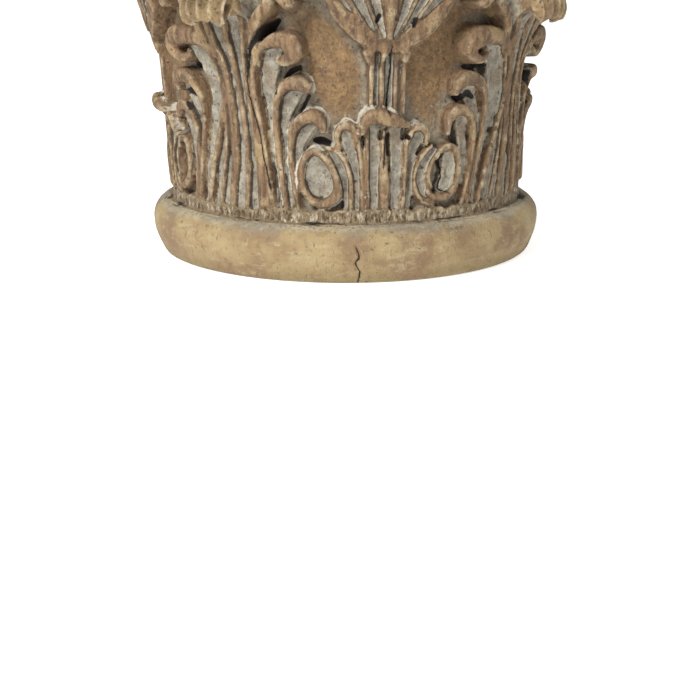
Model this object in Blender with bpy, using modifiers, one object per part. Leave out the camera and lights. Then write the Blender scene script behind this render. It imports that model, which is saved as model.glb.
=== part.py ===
"""Decorative pedestal in the form of a Corinthian capital, cast in one piece.

Four tall acanthus leaves stand on the corners of a flared bell, above a round base.
On each side, between two leaves, grow a small palmette, a fluted stem and a fan-shaped
calyx. Stalks, inner scrolls and corner volutes carry the square top with its hollowed
sides. All of it is one solid.

Units are metres and +Z is up. The origin is the centre of the underside, and the front
side faces -Y. Angles are in degrees, measured round the bell from the front.
"""

import math
from collections import namedtuple

import bmesh
import bpy
from mathutils import Matrix, Vector

# Overall form
HEIGHT = 0.305
TOP_WIDTH = 0.356
ABACUS_THICKNESS = 0.042
ABACUS_HOLLOW = 0.028
ABACUS_CORNER_WIDTH = 0.044
BASE_RADIUS = 0.140
BASE_HEIGHT = 0.037
BASE_ROUNDNESS = 0.009
FOOT_RING_RADIUS = 0.1255
FOOT_RING_HEIGHT = 0.011
BELL_FOOT_RADIUS = 0.1195
BELL_LIP_RADIUS = 0.142
LEAF_GROUND = 0.0025

# Carving
RELIEF = 0.010
LEAF_HEIGHT = 0.146
LEAF_REACH = 0.040
LEAF_CURL_RADIUS = 0.0098
LEAF_TIP_HALF_WIDTH = 0.0135
LEAF_FREE_SHARE = 0.76
RING_WIDTH_SHARE = 0.171
RING_HEIGHT_SHARE = 0.247
STEM_HALF_WIDTH = 0.010
CALYX_HEIGHT = 0.062
CALYX_SPREAD = 23.0
SCROLL_RADIUS = 0.0165
VOLUTE_RADIUS = 0.026
VOLUTE_WIDTH = 0.028
RIBBON_THICKNESS = 0.007
FLEURON_RADIUS = 0.019

# How finely the skin of the casting is drawn, and how far one form sinks into another
SKIN_DETAIL = 0.0021
SKIN_TRIANGLES = 7400
TURNED_STEPS = 48
SINK = 0.003
MERGE_DISTANCE = 0.00001

# Where things stand, worked out from the sizes
FACINGS = (0, 90, 180, 270)
BELL_TOP = HEIGHT - ABACUS_THICKNESS
LEAF_TOP = BASE_HEIGHT + LEAF_HEIGHT
CALYX_BOTTOM = BASE_HEIGHT + 0.77 * LEAF_HEIGHT
SCROLL_MIDDLE = BELL_TOP - SCROLL_RADIUS - 0.25 * RIBBON_THICKNESS
VOLUTE_MIDDLE = BELL_TOP - VOLUTE_RADIUS - 0.25 * RIBBON_THICKNESS

Hook = namedtuple("Hook", "start foot shoulder crown height size turn rim roll low high")

# Lobes of the corner leaf, on each side of its middle. Shares of the leaf's height:
# start, where the lobe's ridge springs, height, where its crown has its centre, and
# size, the crown's outer radius. Angles: foot, shoulder and crown, from the leaf's
# middle, and turn, how far the crown curls. Shares of the relief: rim and roll, the
# ridge's radius along its edge and over its crown, and low and high, how far the ridge
# stands off the bell at its foot and at its crown.
LEAF_HOOKS = (
    Hook(0.0, 9.8, 5.4, 12.4, 0.715, 0.110, 330, 0.24, 0.50, 0.60, 1.00),
    Hook(0.0, 14.0, 11.6, 17.2, 0.545, 0.086, 175, 0.22, 0.46, 0.40, 0.70),
    Hook(0.0, 18.0, 16.8, 21.8, 0.425, 0.075, 200, 0.22, 0.42, 0.34, 0.60),
)


def bell_radius(z):
    """The bell's own surface: nearly upright low down, flaring towards its lip."""
    share = (z - BASE_HEIGHT) / (BELL_TOP - BASE_HEIGHT)
    share = min(max(share, 0.0), 1.0)
    flare = 0.12 * share + 0.88 * share**3.2
    return BELL_FOOT_RADIUS + (BELL_LIP_RADIUS - BELL_FOOT_RADIUS) * flare


def degrees_across(width, z):
    """The angle that a width takes up on the bell at a height."""
    return math.degrees(width / bell_radius(z))


def on_bell(angle, z, lift):
    """A point that stands lift off the bell, at an angle round it and a height."""
    turn = math.radians(angle)
    radius = bell_radius(z) + lift
    return Vector((radius * math.sin(turn), -radius * math.cos(turn), z))


def leaf_z(share):
    """A height given as a share of the leaf's own height."""
    return BASE_HEIGHT + share * LEAF_HEIGHT


def smooth_path(points, steps):
    """A smooth run of steps through each pair of points, after Catmull and Rom.

    A path's points are (angle, height, lift off the bell, ridge radius).
    """
    found = []
    last = len(points) - 1
    for i in range(last):
        a, b, c, d = (points[min(max(k, 0), last)] for k in (i - 1, i, i + 1, i + 2))
        for n in range(steps):
            t = n / steps
            found.append(tuple(
                0.5 * (2 * q + (r - p) * t + (2 * p - 5 * q + 4 * r - s) * t**2
                       + (3 * q - p - 3 * r + s) * t**3)
                for p, q, r, s in zip(a, b, c, d)
            ))
    return found + [tuple(points[-1])]


def carved_path(points, steps):
    """A smooth path whose heights are shares of the leaf's, and the rest of the relief."""
    return smooth_path(
        [(angle, leaf_z(share), lift * RELIEF, radius * RELIEF)
         for angle, share, lift, radius in points], steps)


def hook_path(hook):
    """The ridge of one lobe: up from its foot, over its crown and round into a curl."""
    start = leaf_z(hook.start)
    centre = leaf_z(hook.height)
    rise = 10
    path = []
    for n in range(rise):
        t = n / rise
        angle = hook.shoulder + (hook.foot - hook.shoulder) * (1 - t) ** 1.7
        lift = (hook.low + (hook.high - hook.low) * t**2) * RELIEF
        path.append((angle, start + (centre - start) * t, lift, hook.rim * RELIEF))
    curl = max(6, int(hook.turn / 18))
    half_across = math.radians(hook.crown - hook.shoulder) * bell_radius(centre)
    for n in range(curl + 1):
        t = n / curl
        around = math.pi - math.radians(hook.turn) * t
        swell = math.sin(math.pi * min(1.0, t * hook.turn / 240)) ** 0.8
        ridge = (hook.rim + (hook.roll - hook.rim) * swell) * RELIEF
        shrink = 1 - 0.55 * max(0.0, t * hook.turn - 160) / 180
        across = (half_across + 0.6 * ridge) * shrink - 0.6 * ridge
        upward = (hook.size * LEAF_HEIGHT - ridge) * shrink
        angle = hook.crown + degrees_across(across * math.cos(around), centre)
        height = centre + upward * math.sin(around)
        path.append((angle, height, hook.high * RELIEF + 0.3 * ridge, ridge))
    return path


def ring_path(centre, middle):
    """The lowest lobe: a ring with its point upwards, leaning towards the palmette."""
    half_width = RING_WIDTH_SHARE * LEAF_HEIGHT / 2
    half_height = RING_HEIGHT_SHARE * LEAF_HEIGHT / 2
    steps = 24
    path = []
    for n in range(steps + 1):
        around = 2 * math.pi * n / steps
        narrow = 1 - 0.45 * max(0.0, math.cos(around)) ** 1.5
        across = half_width * math.sin(around) * narrow
        across -= 0.10 * half_height * math.cos(around)
        height = leaf_z(middle) + half_height * math.cos(around)
        angle = centre - degrees_across(across, height)
        path.append((angle, height, 0.40 * RELIEF, 0.28 * RELIEF))
    return path


def tip_curl(share, rim):
    """The curl of a tip rib: its radius, and the height and lift of its centre.

    share is the rib's place across the tip, from 0 in the middle to 1 at the side. The
    ribs at the side are shorter, so that the tip is rounded when seen from the front.
    """
    curl = LEAF_CURL_RADIUS * (1 - 0.25 * share**2)
    height = LEAF_TOP - curl - rim - 0.07 * LEAF_HEIGHT * share**2
    lift = LEAF_REACH - curl - rim - 0.14 * LEAF_REACH * share**2
    return curl, height, lift


def tip_path(share, foot_angle, droop, rim):
    """A rib of the leaf's middle, which leaves the bell at the top and curls over."""
    curl, curl_height, curl_lift = tip_curl(share, rim)
    angle = degrees_across(share * LEAF_TIP_HALF_WIDTH, curl_height)
    path = smooth_path(
        [(foot_angle, leaf_z(0.00), 0.60 * RELIEF, 0.45 * rim),
         (0.7 * foot_angle + 0.3 * angle, leaf_z(0.35), 0.70 * RELIEF, 0.55 * rim),
         (0.3 * foot_angle + 0.7 * angle, leaf_z(0.66), 0.95 * RELIEF, 0.95 * rim),
         (angle, curl_height, curl_lift - curl, rim)], 5)
    turns = 9
    for n in range(1, turns + 1):
        around = math.radians(180 - droop * n / turns)
        height = curl_height + curl * math.sin(around)
        flare_back = bell_radius(height) - bell_radius(curl_height)
        lift = curl_lift + curl * math.cos(around) - flare_back
        tapered = 1 - 0.25 * n / turns
        path.append((angle * (1 - 0.12 * n / turns), height, lift, rim * tapered))
    return path


def tip_roll(rim):
    """The filled middle of the curl, which runs across under the ribs."""
    path = []
    for n in range(9):
        share = n / 4 - 1
        curl, height, lift = tip_curl(share, rim)
        angle = degrees_across(0.92 * share * LEAF_TIP_HALF_WIDTH, height)
        path.append((angle, height, lift, 0.8 * curl))
    return path


def both_sides(paths):
    """Paths together with their mirror images about the middle."""
    return paths + [[(-angle, *rest) for angle, *rest in path] for path in paths]


def leaf_tip_ridges():
    """The ribs of one corner leaf's middle, which end in its curled tip."""
    rim = 0.40 * LEAF_TIP_HALF_WIDTH
    sides = [tip_path(0.46, 3.1, 222, rim), tip_path(0.92, 6.4, 200, rim)]
    return [tip_path(0.0, 0.0, 236, 1.1 * rim), tip_roll(rim)] + both_sides(sides)


def leaf_lobe_ridges():
    """The curled lobes down both sides of one corner leaf."""
    sides = [hook_path(hook) for hook in LEAF_HOOKS]
    sides.append(ring_path(25.2, 0.20))
    return both_sides(sides)


def palmette_ridges():
    """The small palmette low on each side, with its rolled top."""
    outer_loop = carved_path(
        [(6.8, 0.00, 0.40, 0.21), (6.4, 0.24, 0.45, 0.21), (7.4, 0.37, 0.55, 0.23),
         (9.6, 0.43, 0.60, 0.28), (12.6, 0.40, 0.55, 0.28), (14.6, 0.30, 0.45, 0.24),
         (12.0, 0.20, 0.40, 0.22), (10.6, 0.00, 0.40, 0.22)], 4)
    inner_rib = carved_path(
        [(2.2, 0.00, 0.50, 0.24), (2.0, 0.22, 0.60, 0.24), (3.4, 0.42, 0.80, 0.26)], 5)
    half_top = [(3.0, 0.485, 1.10, 0.52), (6.0, 0.460, 0.95, 0.42), (7.4, 0.400, 0.70, 0.26)]
    other_half = [(-angle, *rest) for angle, *rest in reversed(half_top)]
    rolled_top = carved_path(other_half + [(0.0, 0.490, 1.15, 0.56)] + half_top, 3)
    return both_sides([outer_loop, inner_rib]) + [rolled_top]


def stem_ridges():
    """The fluted stem above the palmette, and the two drops of its collar."""
    paths = []
    for share in (-0.75, -0.25, 0.25, 0.75):
        angle = degrees_across(share * STEM_HALF_WIDTH, leaf_z(0.64))
        paths.append(carved_path([(angle, 0.46, 0.64, 0.28), (angle, 0.82, 0.75, 0.28)], 4))
    drop = carved_path(
        [(1.0, 0.80, 0.90, 0.46), (2.9, 0.77, 0.95, 0.48), (4.2, 0.73, 0.85, 0.34)], 4)
    return paths + both_sides([drop])


def calyx_ridges():
    """The fan of petals above the stem, whose outermost petals curl over at their ends."""
    paths = []
    for spread in (-0.68, -0.36, 0.0, 0.36, 0.68):
        rise = CALYX_HEIGHT * (1 - 0.14 * spread**2)
        path = []
        for n in range(11):
            t = n / 10
            angle = CALYX_SPREAD * spread * t**0.62
            lift = (0.8 + 0.7 * t + 0.5 * t**3) * RELIEF
            path.append((angle, CALYX_BOTTOM + rise * t, lift, (0.30 + 0.34 * t) * RELIEF))
        paths.append(path)
    hooked = [(0.03, 0.00, 0.80, 0.30), (0.32, 0.16, 0.90, 0.34), (0.66, 0.38, 1.10, 0.40),
              (0.90, 0.58, 1.30, 0.50), (1.12, 0.62, 1.40, 0.56), (1.20, 0.50, 1.25, 0.52),
              (1.13, 0.42, 1.10, 0.38)]
    outermost = smooth_path(
        [(CALYX_SPREAD * spread, CALYX_BOTTOM + CALYX_HEIGHT * rise, lift * RELIEF,
          radius * RELIEF) for spread, rise, lift, radius in hooked], 4)
    return paths + both_sides([outermost])


def stalk_ridges():
    """The stalks that leave the calyx for the corners and end in the volutes' ribbons."""
    out, height = ribbon_crest()
    inside_ribbon = 0.45 * VOLUTE_WIDTH
    end_angle = 45 - math.degrees(math.atan2(inside_ribbon, out))
    end_lift = math.hypot(inside_ribbon, out) - bell_radius(height)
    stalk = smooth_path(
        [(11.0, CALYX_BOTTOM + 0.55 * CALYX_HEIGHT, 0.80 * RELIEF, 0.55 * RELIEF),
         (21.0, CALYX_BOTTOM + 0.92 * CALYX_HEIGHT, 1.10 * RELIEF, 0.62 * RELIEF),
         (30.0, VOLUTE_MIDDLE + 0.10 * VOLUTE_RADIUS, 1.60 * RELIEF, 0.62 * RELIEF),
         (end_angle, height, end_lift, 0.54 * RELIEF)], 6)
    return both_sides([stalk])


def scroll_ridges():
    """The two inner scrolls that roll up against the bell, under the middle of the top."""
    half = 0.5 * RIBBON_THICKNESS
    middle = degrees_across(0.93 * (SCROLL_RADIUS + FLEURON_RADIUS), SCROLL_MIDDLE)
    turns = 26
    scroll = []
    for n in range(turns + 1):
        t = n / turns
        around = math.radians(-70 + 610 * t)
        radius = (SCROLL_RADIUS - half) * (1 - 0.80 * t)
        angle = middle + degrees_across(radius * math.cos(around), SCROLL_MIDDLE)
        height = SCROLL_MIDDLE + radius * math.sin(around)
        scroll.append((angle, height, (0.9 + 0.5 * t) * RELIEF, half * (1 + 0.2 * t)))
    return both_sides([scroll])


def ridge_mesh(paths, middle, free_above=HEIGHT):
    """One mesh of carved ridges, round on top, whose sides run down into the bell.

    Above the height free_above a ridge stands clear of the bell, as thick as it is wide.
    """
    form = bmesh.new()
    for path in paths:
        spots = [on_bell(middle + angle, z, lift) for angle, z, lift, _ in path]
        rings = []
        side = None
        for n, (spot, (angle, z, lift, radius)) in enumerate(zip(spots, path)):
            along = spots[min(n + 1, len(spots) - 1)] - spots[max(n - 1, 0)]
            along.normalize()
            outward = Vector((spot.x, spot.y, 0.0)).normalized()
            across = along.cross(outward)
            if side is None or across.length > 0.3:
                turned = side is not None and across.dot(side) < 0
                side = (-across if turned else across).normalized()
            face = side.cross(along).normalized()
            depth = lift + SINK if z < free_above else 1.1 * radius
            rings.append(ridge_section(spot, side, face, radius, depth))
        add_loft(form, rings)
    mesh = bpy.data.meshes.new("ridges")
    form.to_mesh(mesh)
    form.free()
    return mesh


def ridge_section(spot, side, face, radius, depth):
    """A slice through a ridge: half a circle over a skirt that narrows a little."""
    ring = []
    for n in range(7):
        around = math.pi * n / 6
        ring.append(spot + radius * (side * math.cos(around) + face * math.sin(around)))
    for share in (-0.85, 0.85):
        ring.append(spot + side * radius * share - face * depth)
    return ring


def add_loft(form, rings):
    """Add a closed form through a stack of outlines, its two ends filled flat."""
    loops = []
    for ring in rings:
        verts = [form.verts.new(point) for point in ring]
        loops.append([form.edges.new(pair) for pair in zip(verts, verts[1:] + verts[:1])])
    for low, high in zip(loops, loops[1:]):
        bmesh.ops.bridge_loops(form, edges=low + high)
    for end in (loops[0], loops[-1]):
        bmesh.ops.holes_fill(form, edges=end)


def volute_reach():
    """How far out a volute has its middle, so that it stays under the top's corner."""
    return corner_distance() - VOLUTE_RADIUS - 0.5 * RIBBON_THICKNESS


def ribbon_spring():
    """Where a volute's ribbon leaves the bell: distance out and height."""
    out = bell_radius(VOLUTE_MIDDLE) - 0.5 * RIBBON_THICKNESS
    return out, VOLUTE_MIDDLE - 0.5 * VOLUTE_RADIUS


def ribbon_crest():
    """Where the ribbon has risen clear of the bell: distance out and height."""
    out = 0.5 * (ribbon_spring()[0] + volute_reach())
    return out, VOLUTE_MIDDLE + 0.55 * VOLUTE_RADIUS


def volute_meshes(corner):
    """A corner volute: a ribbon rolled up round a drum, upright in the diagonal plane."""
    half = 0.5 * RIBBON_THICKNESS
    reach = volute_reach()
    path = [ribbon_spring(), ribbon_crest()]
    turns = 36
    for n in range(turns + 1):
        t = n / turns
        around = math.radians(105 - 560 * t)
        radius = (VOLUTE_RADIUS - half) * (1 - 0.84 * t)
        path.append((reach + radius * math.cos(around),
                     VOLUTE_MIDDLE + radius * math.sin(around)))
    outward = Vector((math.sin(corner), -math.cos(corner), 0.0))
    across = outward.cross(Vector((0.0, 0.0, 1.0))) * 0.5 * VOLUTE_WIDTH
    spots = [outward * out + Vector((0.0, 0.0, height)) for out, height in path]
    rings = []
    for n, spot in enumerate(spots):
        along = (spots[min(n + 1, len(spots) - 1)] - spots[max(n - 1, 0)]).normalized()
        thick = along.cross(across).normalized() * half
        rings.append([spot + across + thick, spot + across - thick,
                      spot - across - thick, spot - across + thick])
    drum = bmesh.new()
    axis = Matrix.Rotation(corner, 4, "Z") @ Matrix.Rotation(math.radians(90), 4, "Y")
    centre = outward * reach + Vector((0.0, 0.0, VOLUTE_MIDDLE))
    bmesh.ops.create_cone(
        drum, cap_ends=True, segments=32, radius1=0.93 * VOLUTE_RADIUS,
        radius2=0.93 * VOLUTE_RADIUS, depth=0.70 * VOLUTE_WIDTH,
        matrix=Matrix.Translation(centre) @ axis)
    drum_mesh = bpy.data.meshes.new("drum")
    drum.to_mesh(drum_mesh)
    drum.free()
    return [lofted_mesh(rings, "ribbon"), drum_mesh]


def fleuron_mesh(facing):
    """The flower on the middle of each side of the top: six petals round a knob."""
    out = 0.5 * TOP_WIDTH - ABACUS_HOLLOW
    height = HEIGHT - 0.5 * ABACUS_THICKNESS
    form = bmesh.new()
    blobs = [(0.0, 0.0, 0.36 * FLEURON_RADIUS, 0.5 * FLEURON_RADIUS)]
    for petal in range(6):
        around = 2 * math.pi * petal / 6
        blobs.append((0.62 * FLEURON_RADIUS * math.sin(around),
                      0.62 * FLEURON_RADIUS * math.cos(around),
                      0.38 * FLEURON_RADIUS, 0.3 * FLEURON_RADIUS))
    for across, upward, size, depth in blobs:
        stretch = Matrix.Diagonal((size, depth, size, 1.0))
        place = Matrix.Translation((across, -out, height + upward)) @ stretch
        bmesh.ops.create_uvsphere(form, u_segments=12, v_segments=8, radius=1.0, matrix=place)
    bmesh.ops.rotate(form, verts=form.verts, matrix=Matrix.Rotation(facing, 3, "Z"))
    mesh = bpy.data.meshes.new("fleuron")
    form.to_mesh(mesh)
    form.free()
    return mesh


def corner_distance():
    """How far the middle of a cut corner of the top lies from the centre."""
    return TOP_WIDTH / math.sqrt(2) - 0.5 * ABACUS_CORNER_WIDTH


def abacus_outline(inset, z):
    """The outline of the top, drawn in by inset: hollowed sides and cut corners."""
    half = 0.5 * TOP_WIDTH
    reach = half - ABACUS_CORNER_WIDTH / math.sqrt(2)
    steps = 8
    points = []
    for facing in FACINGS:
        turn = Matrix.Rotation(math.radians(facing), 3, "Z")
        for n in range(steps + 1):
            share = 2 * n / steps - 1
            hollow = ABACUS_HOLLOW * (1 - share**2)
            across = share * (reach - 0.35 * inset)
            points.append(turn @ Vector((across, -(half - hollow - inset), z)))
    return points


def lofted_mesh(rings, name):
    """A mesh of its own for one such form."""
    form = bmesh.new()
    add_loft(form, rings)
    bmesh.ops.recalc_face_normals(form, faces=form.faces)
    bmesh.ops.triangulate(form, faces=form.faces)
    mesh = bpy.data.meshes.new(name)
    form.to_mesh(mesh)
    form.free()
    return mesh


def abacus_mesh():
    """The square top: a plain slab over a hollow moulding."""
    low = BELL_TOP
    slab = low + 0.55 * ABACUS_THICKNESS
    steps = ((0.30, low), (0.28, low + 0.10 * ABACUS_THICKNESS),
             (0.19, low + 0.33 * ABACUS_THICKNESS), (0.06, low + 0.47 * ABACUS_THICKNESS),
             (0.06, slab), (0.0, slab + 0.06 * ABACUS_THICKNESS),
             (0.0, HEIGHT - 0.05 * ABACUS_THICKNESS), (0.04, HEIGHT))
    rings = [abacus_outline(share * ABACUS_THICKNESS, z) for share, z in steps]
    return lofted_mesh(rings, "abacus")


def turned_object(name, profile):
    """A profile of (radius, height) points, top to bottom, turned about the axis."""
    mesh = bpy.data.meshes.new(name)
    edges = [(n, n + 1) for n in range(len(profile) - 1)]
    mesh.from_pydata([(radius, 0.0, height) for radius, height in profile], edges, [])
    thing = bpy.data.objects.new(name, mesh)
    screw = thing.modifiers.new("turn", "SCREW")
    screw.steps = screw.render_steps = TURNED_STEPS
    screw.use_merge_vertices = True
    screw.merge_threshold = MERGE_DISTANCE
    return thing


def bell_profile():
    """The bell from its lip down, with the raised ground of the leaves and its foot."""
    neck = BELL_TOP + 0.3 * ABACUS_THICKNESS
    profile = [(0.0, neck), (0.95 * BELL_LIP_RADIUS, neck), (BELL_LIP_RADIUS, BELL_TOP)]
    steps = 22
    ring_top = BASE_HEIGHT + FOOT_RING_HEIGHT
    for n in range(1, steps + 1):
        z = BELL_TOP - (BELL_TOP - ring_top) * n / steps
        ground = LEAF_GROUND * min(1.0, max(0.0, (leaf_z(0.55) - z) / (0.2 * LEAF_HEIGHT)))
        profile.append((bell_radius(z) + ground, z))
    profile += [(FOOT_RING_RADIUS, ring_top - 0.3 * FOOT_RING_HEIGHT),
                (FOOT_RING_RADIUS, BASE_HEIGHT - SINK), (0.0, BASE_HEIGHT - SINK)]
    return profile


def base_profile():
    """The base moulding: a flattened round, a little fuller near its top."""
    profile = [(0.0, BASE_HEIGHT), (BASE_RADIUS - BASE_ROUNDNESS, BASE_HEIGHT)]
    steps = 9
    for n in range(1, steps):
        share = n / steps
        up = 1 - share
        lean = abs(2 * up - 1.2) / 1.2 if up < 0.6 else (up - 0.6) / 0.4
        profile.append((BASE_RADIUS - BASE_ROUNDNESS * lean**2.2, BASE_HEIGHT * up))
    profile += [(BASE_RADIUS - BASE_ROUNDNESS, 0.0), (0.0, 0.0)]
    return profile


def evaluated_mesh(thing):
    """The mesh that an object has once its modifiers have run."""
    graph = bpy.context.evaluated_depsgraph_get()
    return bpy.data.meshes.new_from_object(thing.evaluated_get(graph))


def joined_mesh(meshes, name):
    """One mesh that holds the faces of several, whose bodies may pass through each other."""
    form = bmesh.new()
    for mesh in meshes:
        form.from_mesh(mesh)
        bpy.data.meshes.remove(mesh)
    bmesh.ops.recalc_face_normals(form, faces=form.faces)
    mesh = bpy.data.meshes.new(name)
    form.to_mesh(mesh)
    form.free()
    return mesh


def cast_stone():
    """Old cast stone: a dull, warm cream with brown in its grain."""
    material = bpy.data.materials.new("cast_stone")
    material.use_nodes = True
    shader = material.node_tree.nodes["Principled BSDF"]
    shader.inputs["Base Color"].default_value = (0.42, 0.31, 0.19, 1.0)
    shader.inputs["Roughness"].default_value = 0.85
    shader.inputs["Metallic"].default_value = 0.0
    return material


def helper_object(name, mesh, collection):
    """A form that is joined to the pedestal and isn't shown by itself."""
    thing = bpy.data.objects.new(name, mesh)
    collection.objects.link(thing)
    thing.hide_render = True
    thing.display_type = "WIRE"
    return thing


def build():
    """Carve and turn the forms, then join them into the one solid."""
    for old in list(bpy.data.objects):
        bpy.data.objects.remove(old)
    parts = bpy.data.collections.new("decorative_pedestal")
    helpers = bpy.data.collections.new("joined_forms")
    for collection in (parts, helpers):
        bpy.context.scene.collection.children.link(collection)

    bell = turned_object("bell", bell_profile())
    base = turned_object("base", base_profile())
    for thing in (bell, base):
        helpers.objects.link(thing)
    bpy.context.view_layer.update()
    carving = [evaluated_mesh(bell)]
    base_mesh = evaluated_mesh(base)
    for thing in (bell, base):
        bpy.data.objects.remove(thing)

    for facing in FACINGS:
        corner = facing + 45
        carving.append(ridge_mesh(leaf_tip_ridges(), corner, leaf_z(LEAF_FREE_SHARE)))
        carving.append(ridge_mesh(leaf_lobe_ridges(), corner))
        for ridges in (palmette_ridges, stem_ridges, calyx_ridges, stalk_ridges,
                       scroll_ridges):
            carving.append(ridge_mesh(ridges(), facing))
        carving += volute_meshes(math.radians(corner))
        carving.append(fleuron_mesh(math.radians(facing)))

    pedestal = bpy.data.objects.new("pedestal", joined_mesh(carving, "pedestal"))
    parts.objects.link(pedestal)
    pedestal.data.materials.append(cast_stone())

    skin = pedestal.modifiers.new("one skin", "REMESH")
    skin.mode = "VOXEL"
    skin.voxel_size = SKIN_DETAIL
    eased = pedestal.modifiers.new("worn edges", "SMOOTH")
    eased.factor = 0.5
    eased.iterations = 3
    bpy.context.view_layer.update()
    fine = evaluated_mesh(pedestal)
    thinned = pedestal.modifiers.new("fewer faces", "DECIMATE")
    thinned.ratio = min(1.0, SKIN_TRIANGLES / (2 * len(fine.polygons)))
    bpy.data.meshes.remove(fine)

    for name, mesh in (("base", base_mesh), ("abacus", abacus_mesh())):
        joined = pedestal.modifiers.new(f"with the {name}", "BOOLEAN")
        joined.operation = "UNION"
        joined.object = helper_object(name, mesh, helpers)


build()
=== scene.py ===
# %% [markdown]
# # A cast pedestal in the form of a Corinthian capital
#
# The real thing is one casting: a round base moulding, a bell with acanthus leaves and
# palmettes round it, and a square top on four volutes. It was cast from a worn wooden
# original, whitewashed, and then stained brown and wiped, so the stain sits on the
# ridges and the whitewash stays in the hollows.
#
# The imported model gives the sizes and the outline. This file carves the fine relief,
# which is far too fine for a construction model, and gives the surface its colours.

import math

import bmesh
import bpy
import numpy as np
from mathutils import Matrix, Vector


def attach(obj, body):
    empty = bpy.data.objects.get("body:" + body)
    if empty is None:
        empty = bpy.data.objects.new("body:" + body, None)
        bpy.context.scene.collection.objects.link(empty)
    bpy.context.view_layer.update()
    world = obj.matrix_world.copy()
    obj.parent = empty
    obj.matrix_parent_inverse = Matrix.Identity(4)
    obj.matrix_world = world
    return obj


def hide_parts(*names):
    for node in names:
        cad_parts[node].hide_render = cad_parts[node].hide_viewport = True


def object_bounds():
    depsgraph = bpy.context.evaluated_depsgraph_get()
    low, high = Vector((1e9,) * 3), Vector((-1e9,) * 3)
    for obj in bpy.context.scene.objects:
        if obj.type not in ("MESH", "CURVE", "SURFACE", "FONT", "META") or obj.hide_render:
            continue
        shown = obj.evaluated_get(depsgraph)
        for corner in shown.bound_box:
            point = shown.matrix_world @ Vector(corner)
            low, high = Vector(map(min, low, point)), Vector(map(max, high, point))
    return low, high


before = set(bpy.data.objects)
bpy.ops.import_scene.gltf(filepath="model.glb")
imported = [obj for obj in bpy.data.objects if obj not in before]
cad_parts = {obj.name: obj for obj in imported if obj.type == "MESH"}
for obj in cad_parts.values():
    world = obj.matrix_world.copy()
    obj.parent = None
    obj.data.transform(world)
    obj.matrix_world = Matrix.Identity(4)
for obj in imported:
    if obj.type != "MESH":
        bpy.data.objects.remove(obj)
cad_low, cad_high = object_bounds()
print("construction model from", tuple(cad_low), "to", tuple(cad_high))

# %% [markdown]
# ## Sizes
#
# Lengths are written in millimetres, as a carver would measure them, and angles in
# degrees round the bell from the front. Meshes are in metres, so everything is turned
# to metres at the end. The height and the width come from the loaded frame, and the
# rest repeats the named sizes that the construction model was built from.

# %% Driving sizes, in millimetres
MM = 0.001
HEIGHT = cad_high.z / MM
TOP_WIDTH = (cad_high.x - cad_low.x) / MM
ABACUS_THICKNESS = 42.0
ABACUS_HOLLOW = 28.0
ABACUS_CORNER_WIDTH = 44.0
BASE_TOP = 37.0
BASE_RADIUS = 140.0
BELL_FOOT = 119.5
BELL_LIP = 142.0
BELL_TOP = HEIGHT - ABACUS_THICKNESS
LEAF_TOP = 183.0
FACES = (0, 90, 180, 270)
CORNERS = (45, 135, 225, 315)
print("height", round(HEIGHT), "mm, top", round(TOP_WIDTH), "mm square")


# %% The bell that everything is carved on
def bell_radius(z):
    """Radius of the plain bell at a height: upright low down, flaring to its lip."""
    share = np.clip((z - BASE_TOP) / (BELL_TOP - BASE_TOP), 0.0, 1.0)
    return BELL_FOOT + (BELL_LIP - BELL_FOOT) * (0.12 * share + 0.88 * share**3.2)


print("bell radius half way up", round(float(bell_radius(150.0)), 1), "mm")

# %% [markdown]
# ## A drawing board wrapped round the bell and base
#
# Low carving is a height field: at each angle and height the stone stands off the bell
# by some millimetres. It could be sculpted by hand, or lofted rib by rib. Here it is
# drawn, because a carver also draws the leaves on the block first: each rib, hollow and
# curl is one stroke along a smooth path, painted into arrays that cover the bell. The
# same strokes say where stain and whitewash lie, where painted shade darkens undercuts
# and where white lines of painted highlight run, so colour and form always agree.

# %% The board's cells, and smooth random lumps
COLUMNS = 1080
ROW = 0.75
BOARD_RADIUS = 126.0
MM_PER_DEGREE = 2.2
COLUMN = 360.0 / COLUMNS * MM_PER_DEGREE
heights = np.arange(0.0, BELL_TOP + ROW, ROW)
ROWS = len(heights)


def lumps(places, size, seed):
    """Smooth noise from -1 to 1 at rows of (x, y, z), with lumps of about that size."""
    cells = places / size
    whole = np.floor(cells).astype(np.int64)
    part = cells - whole
    part = part * part * (3.0 - 2.0 * part)
    total = np.zeros(len(places))
    for corner in np.ndindex(2, 2, 2):
        at = whole + corner
        mixed = at[:, 0] * 73856093 ^ at[:, 1] * 19349663 ^ at[:, 2] * 83492791
        mixed = ((mixed ^ seed * 7919) & 0xFFFFFFF) * 1274126177
        mixed = (mixed ^ mixed >> 15) & 0xFFFF
        weight = np.prod(np.where(corner, part, 1.0 - part), axis=1)
        total += weight * (mixed / 32767.5 - 1.0)
    return total


def round_bell(size, seed):
    """The same noise over the whole board, taken round the bell so that it has no seam."""
    turn = np.radians(np.arange(COLUMNS) * 360.0 / COLUMNS)
    flat = np.stack([
        np.broadcast_to(BOARD_RADIUS * np.sin(turn), (ROWS, COLUMNS)),
        np.broadcast_to(-BOARD_RADIUS * np.cos(turn), (ROWS, COLUMNS)),
        np.broadcast_to(heights[:, None], (ROWS, COLUMNS))], axis=-1).reshape(-1, 3)
    return lumps(flat, size, seed).reshape(ROWS, COLUMNS)


LAYERS = ("relief", "tone", "soot_and_shade", "cover", "lit_edge_line")
NO_SPLIT = 9.0
board = {name: np.zeros((ROWS, COLUMNS)) for name in LAYERS}
board["split"] = np.full((ROWS, COLUMNS), NO_SPLIT)


def sway(seed):
    """How far a line cut by hand strays, in millimetres: a slow drift and a tremor."""
    return 0.5 * round_bell(11.0, seed) + 0.14 * round_bell(4.0, seed + 1)


sway_across, sway_up = sway(1), sway(3)
print("drawing board of", ROWS, "rows and", COLUMNS, "columns")


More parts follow.
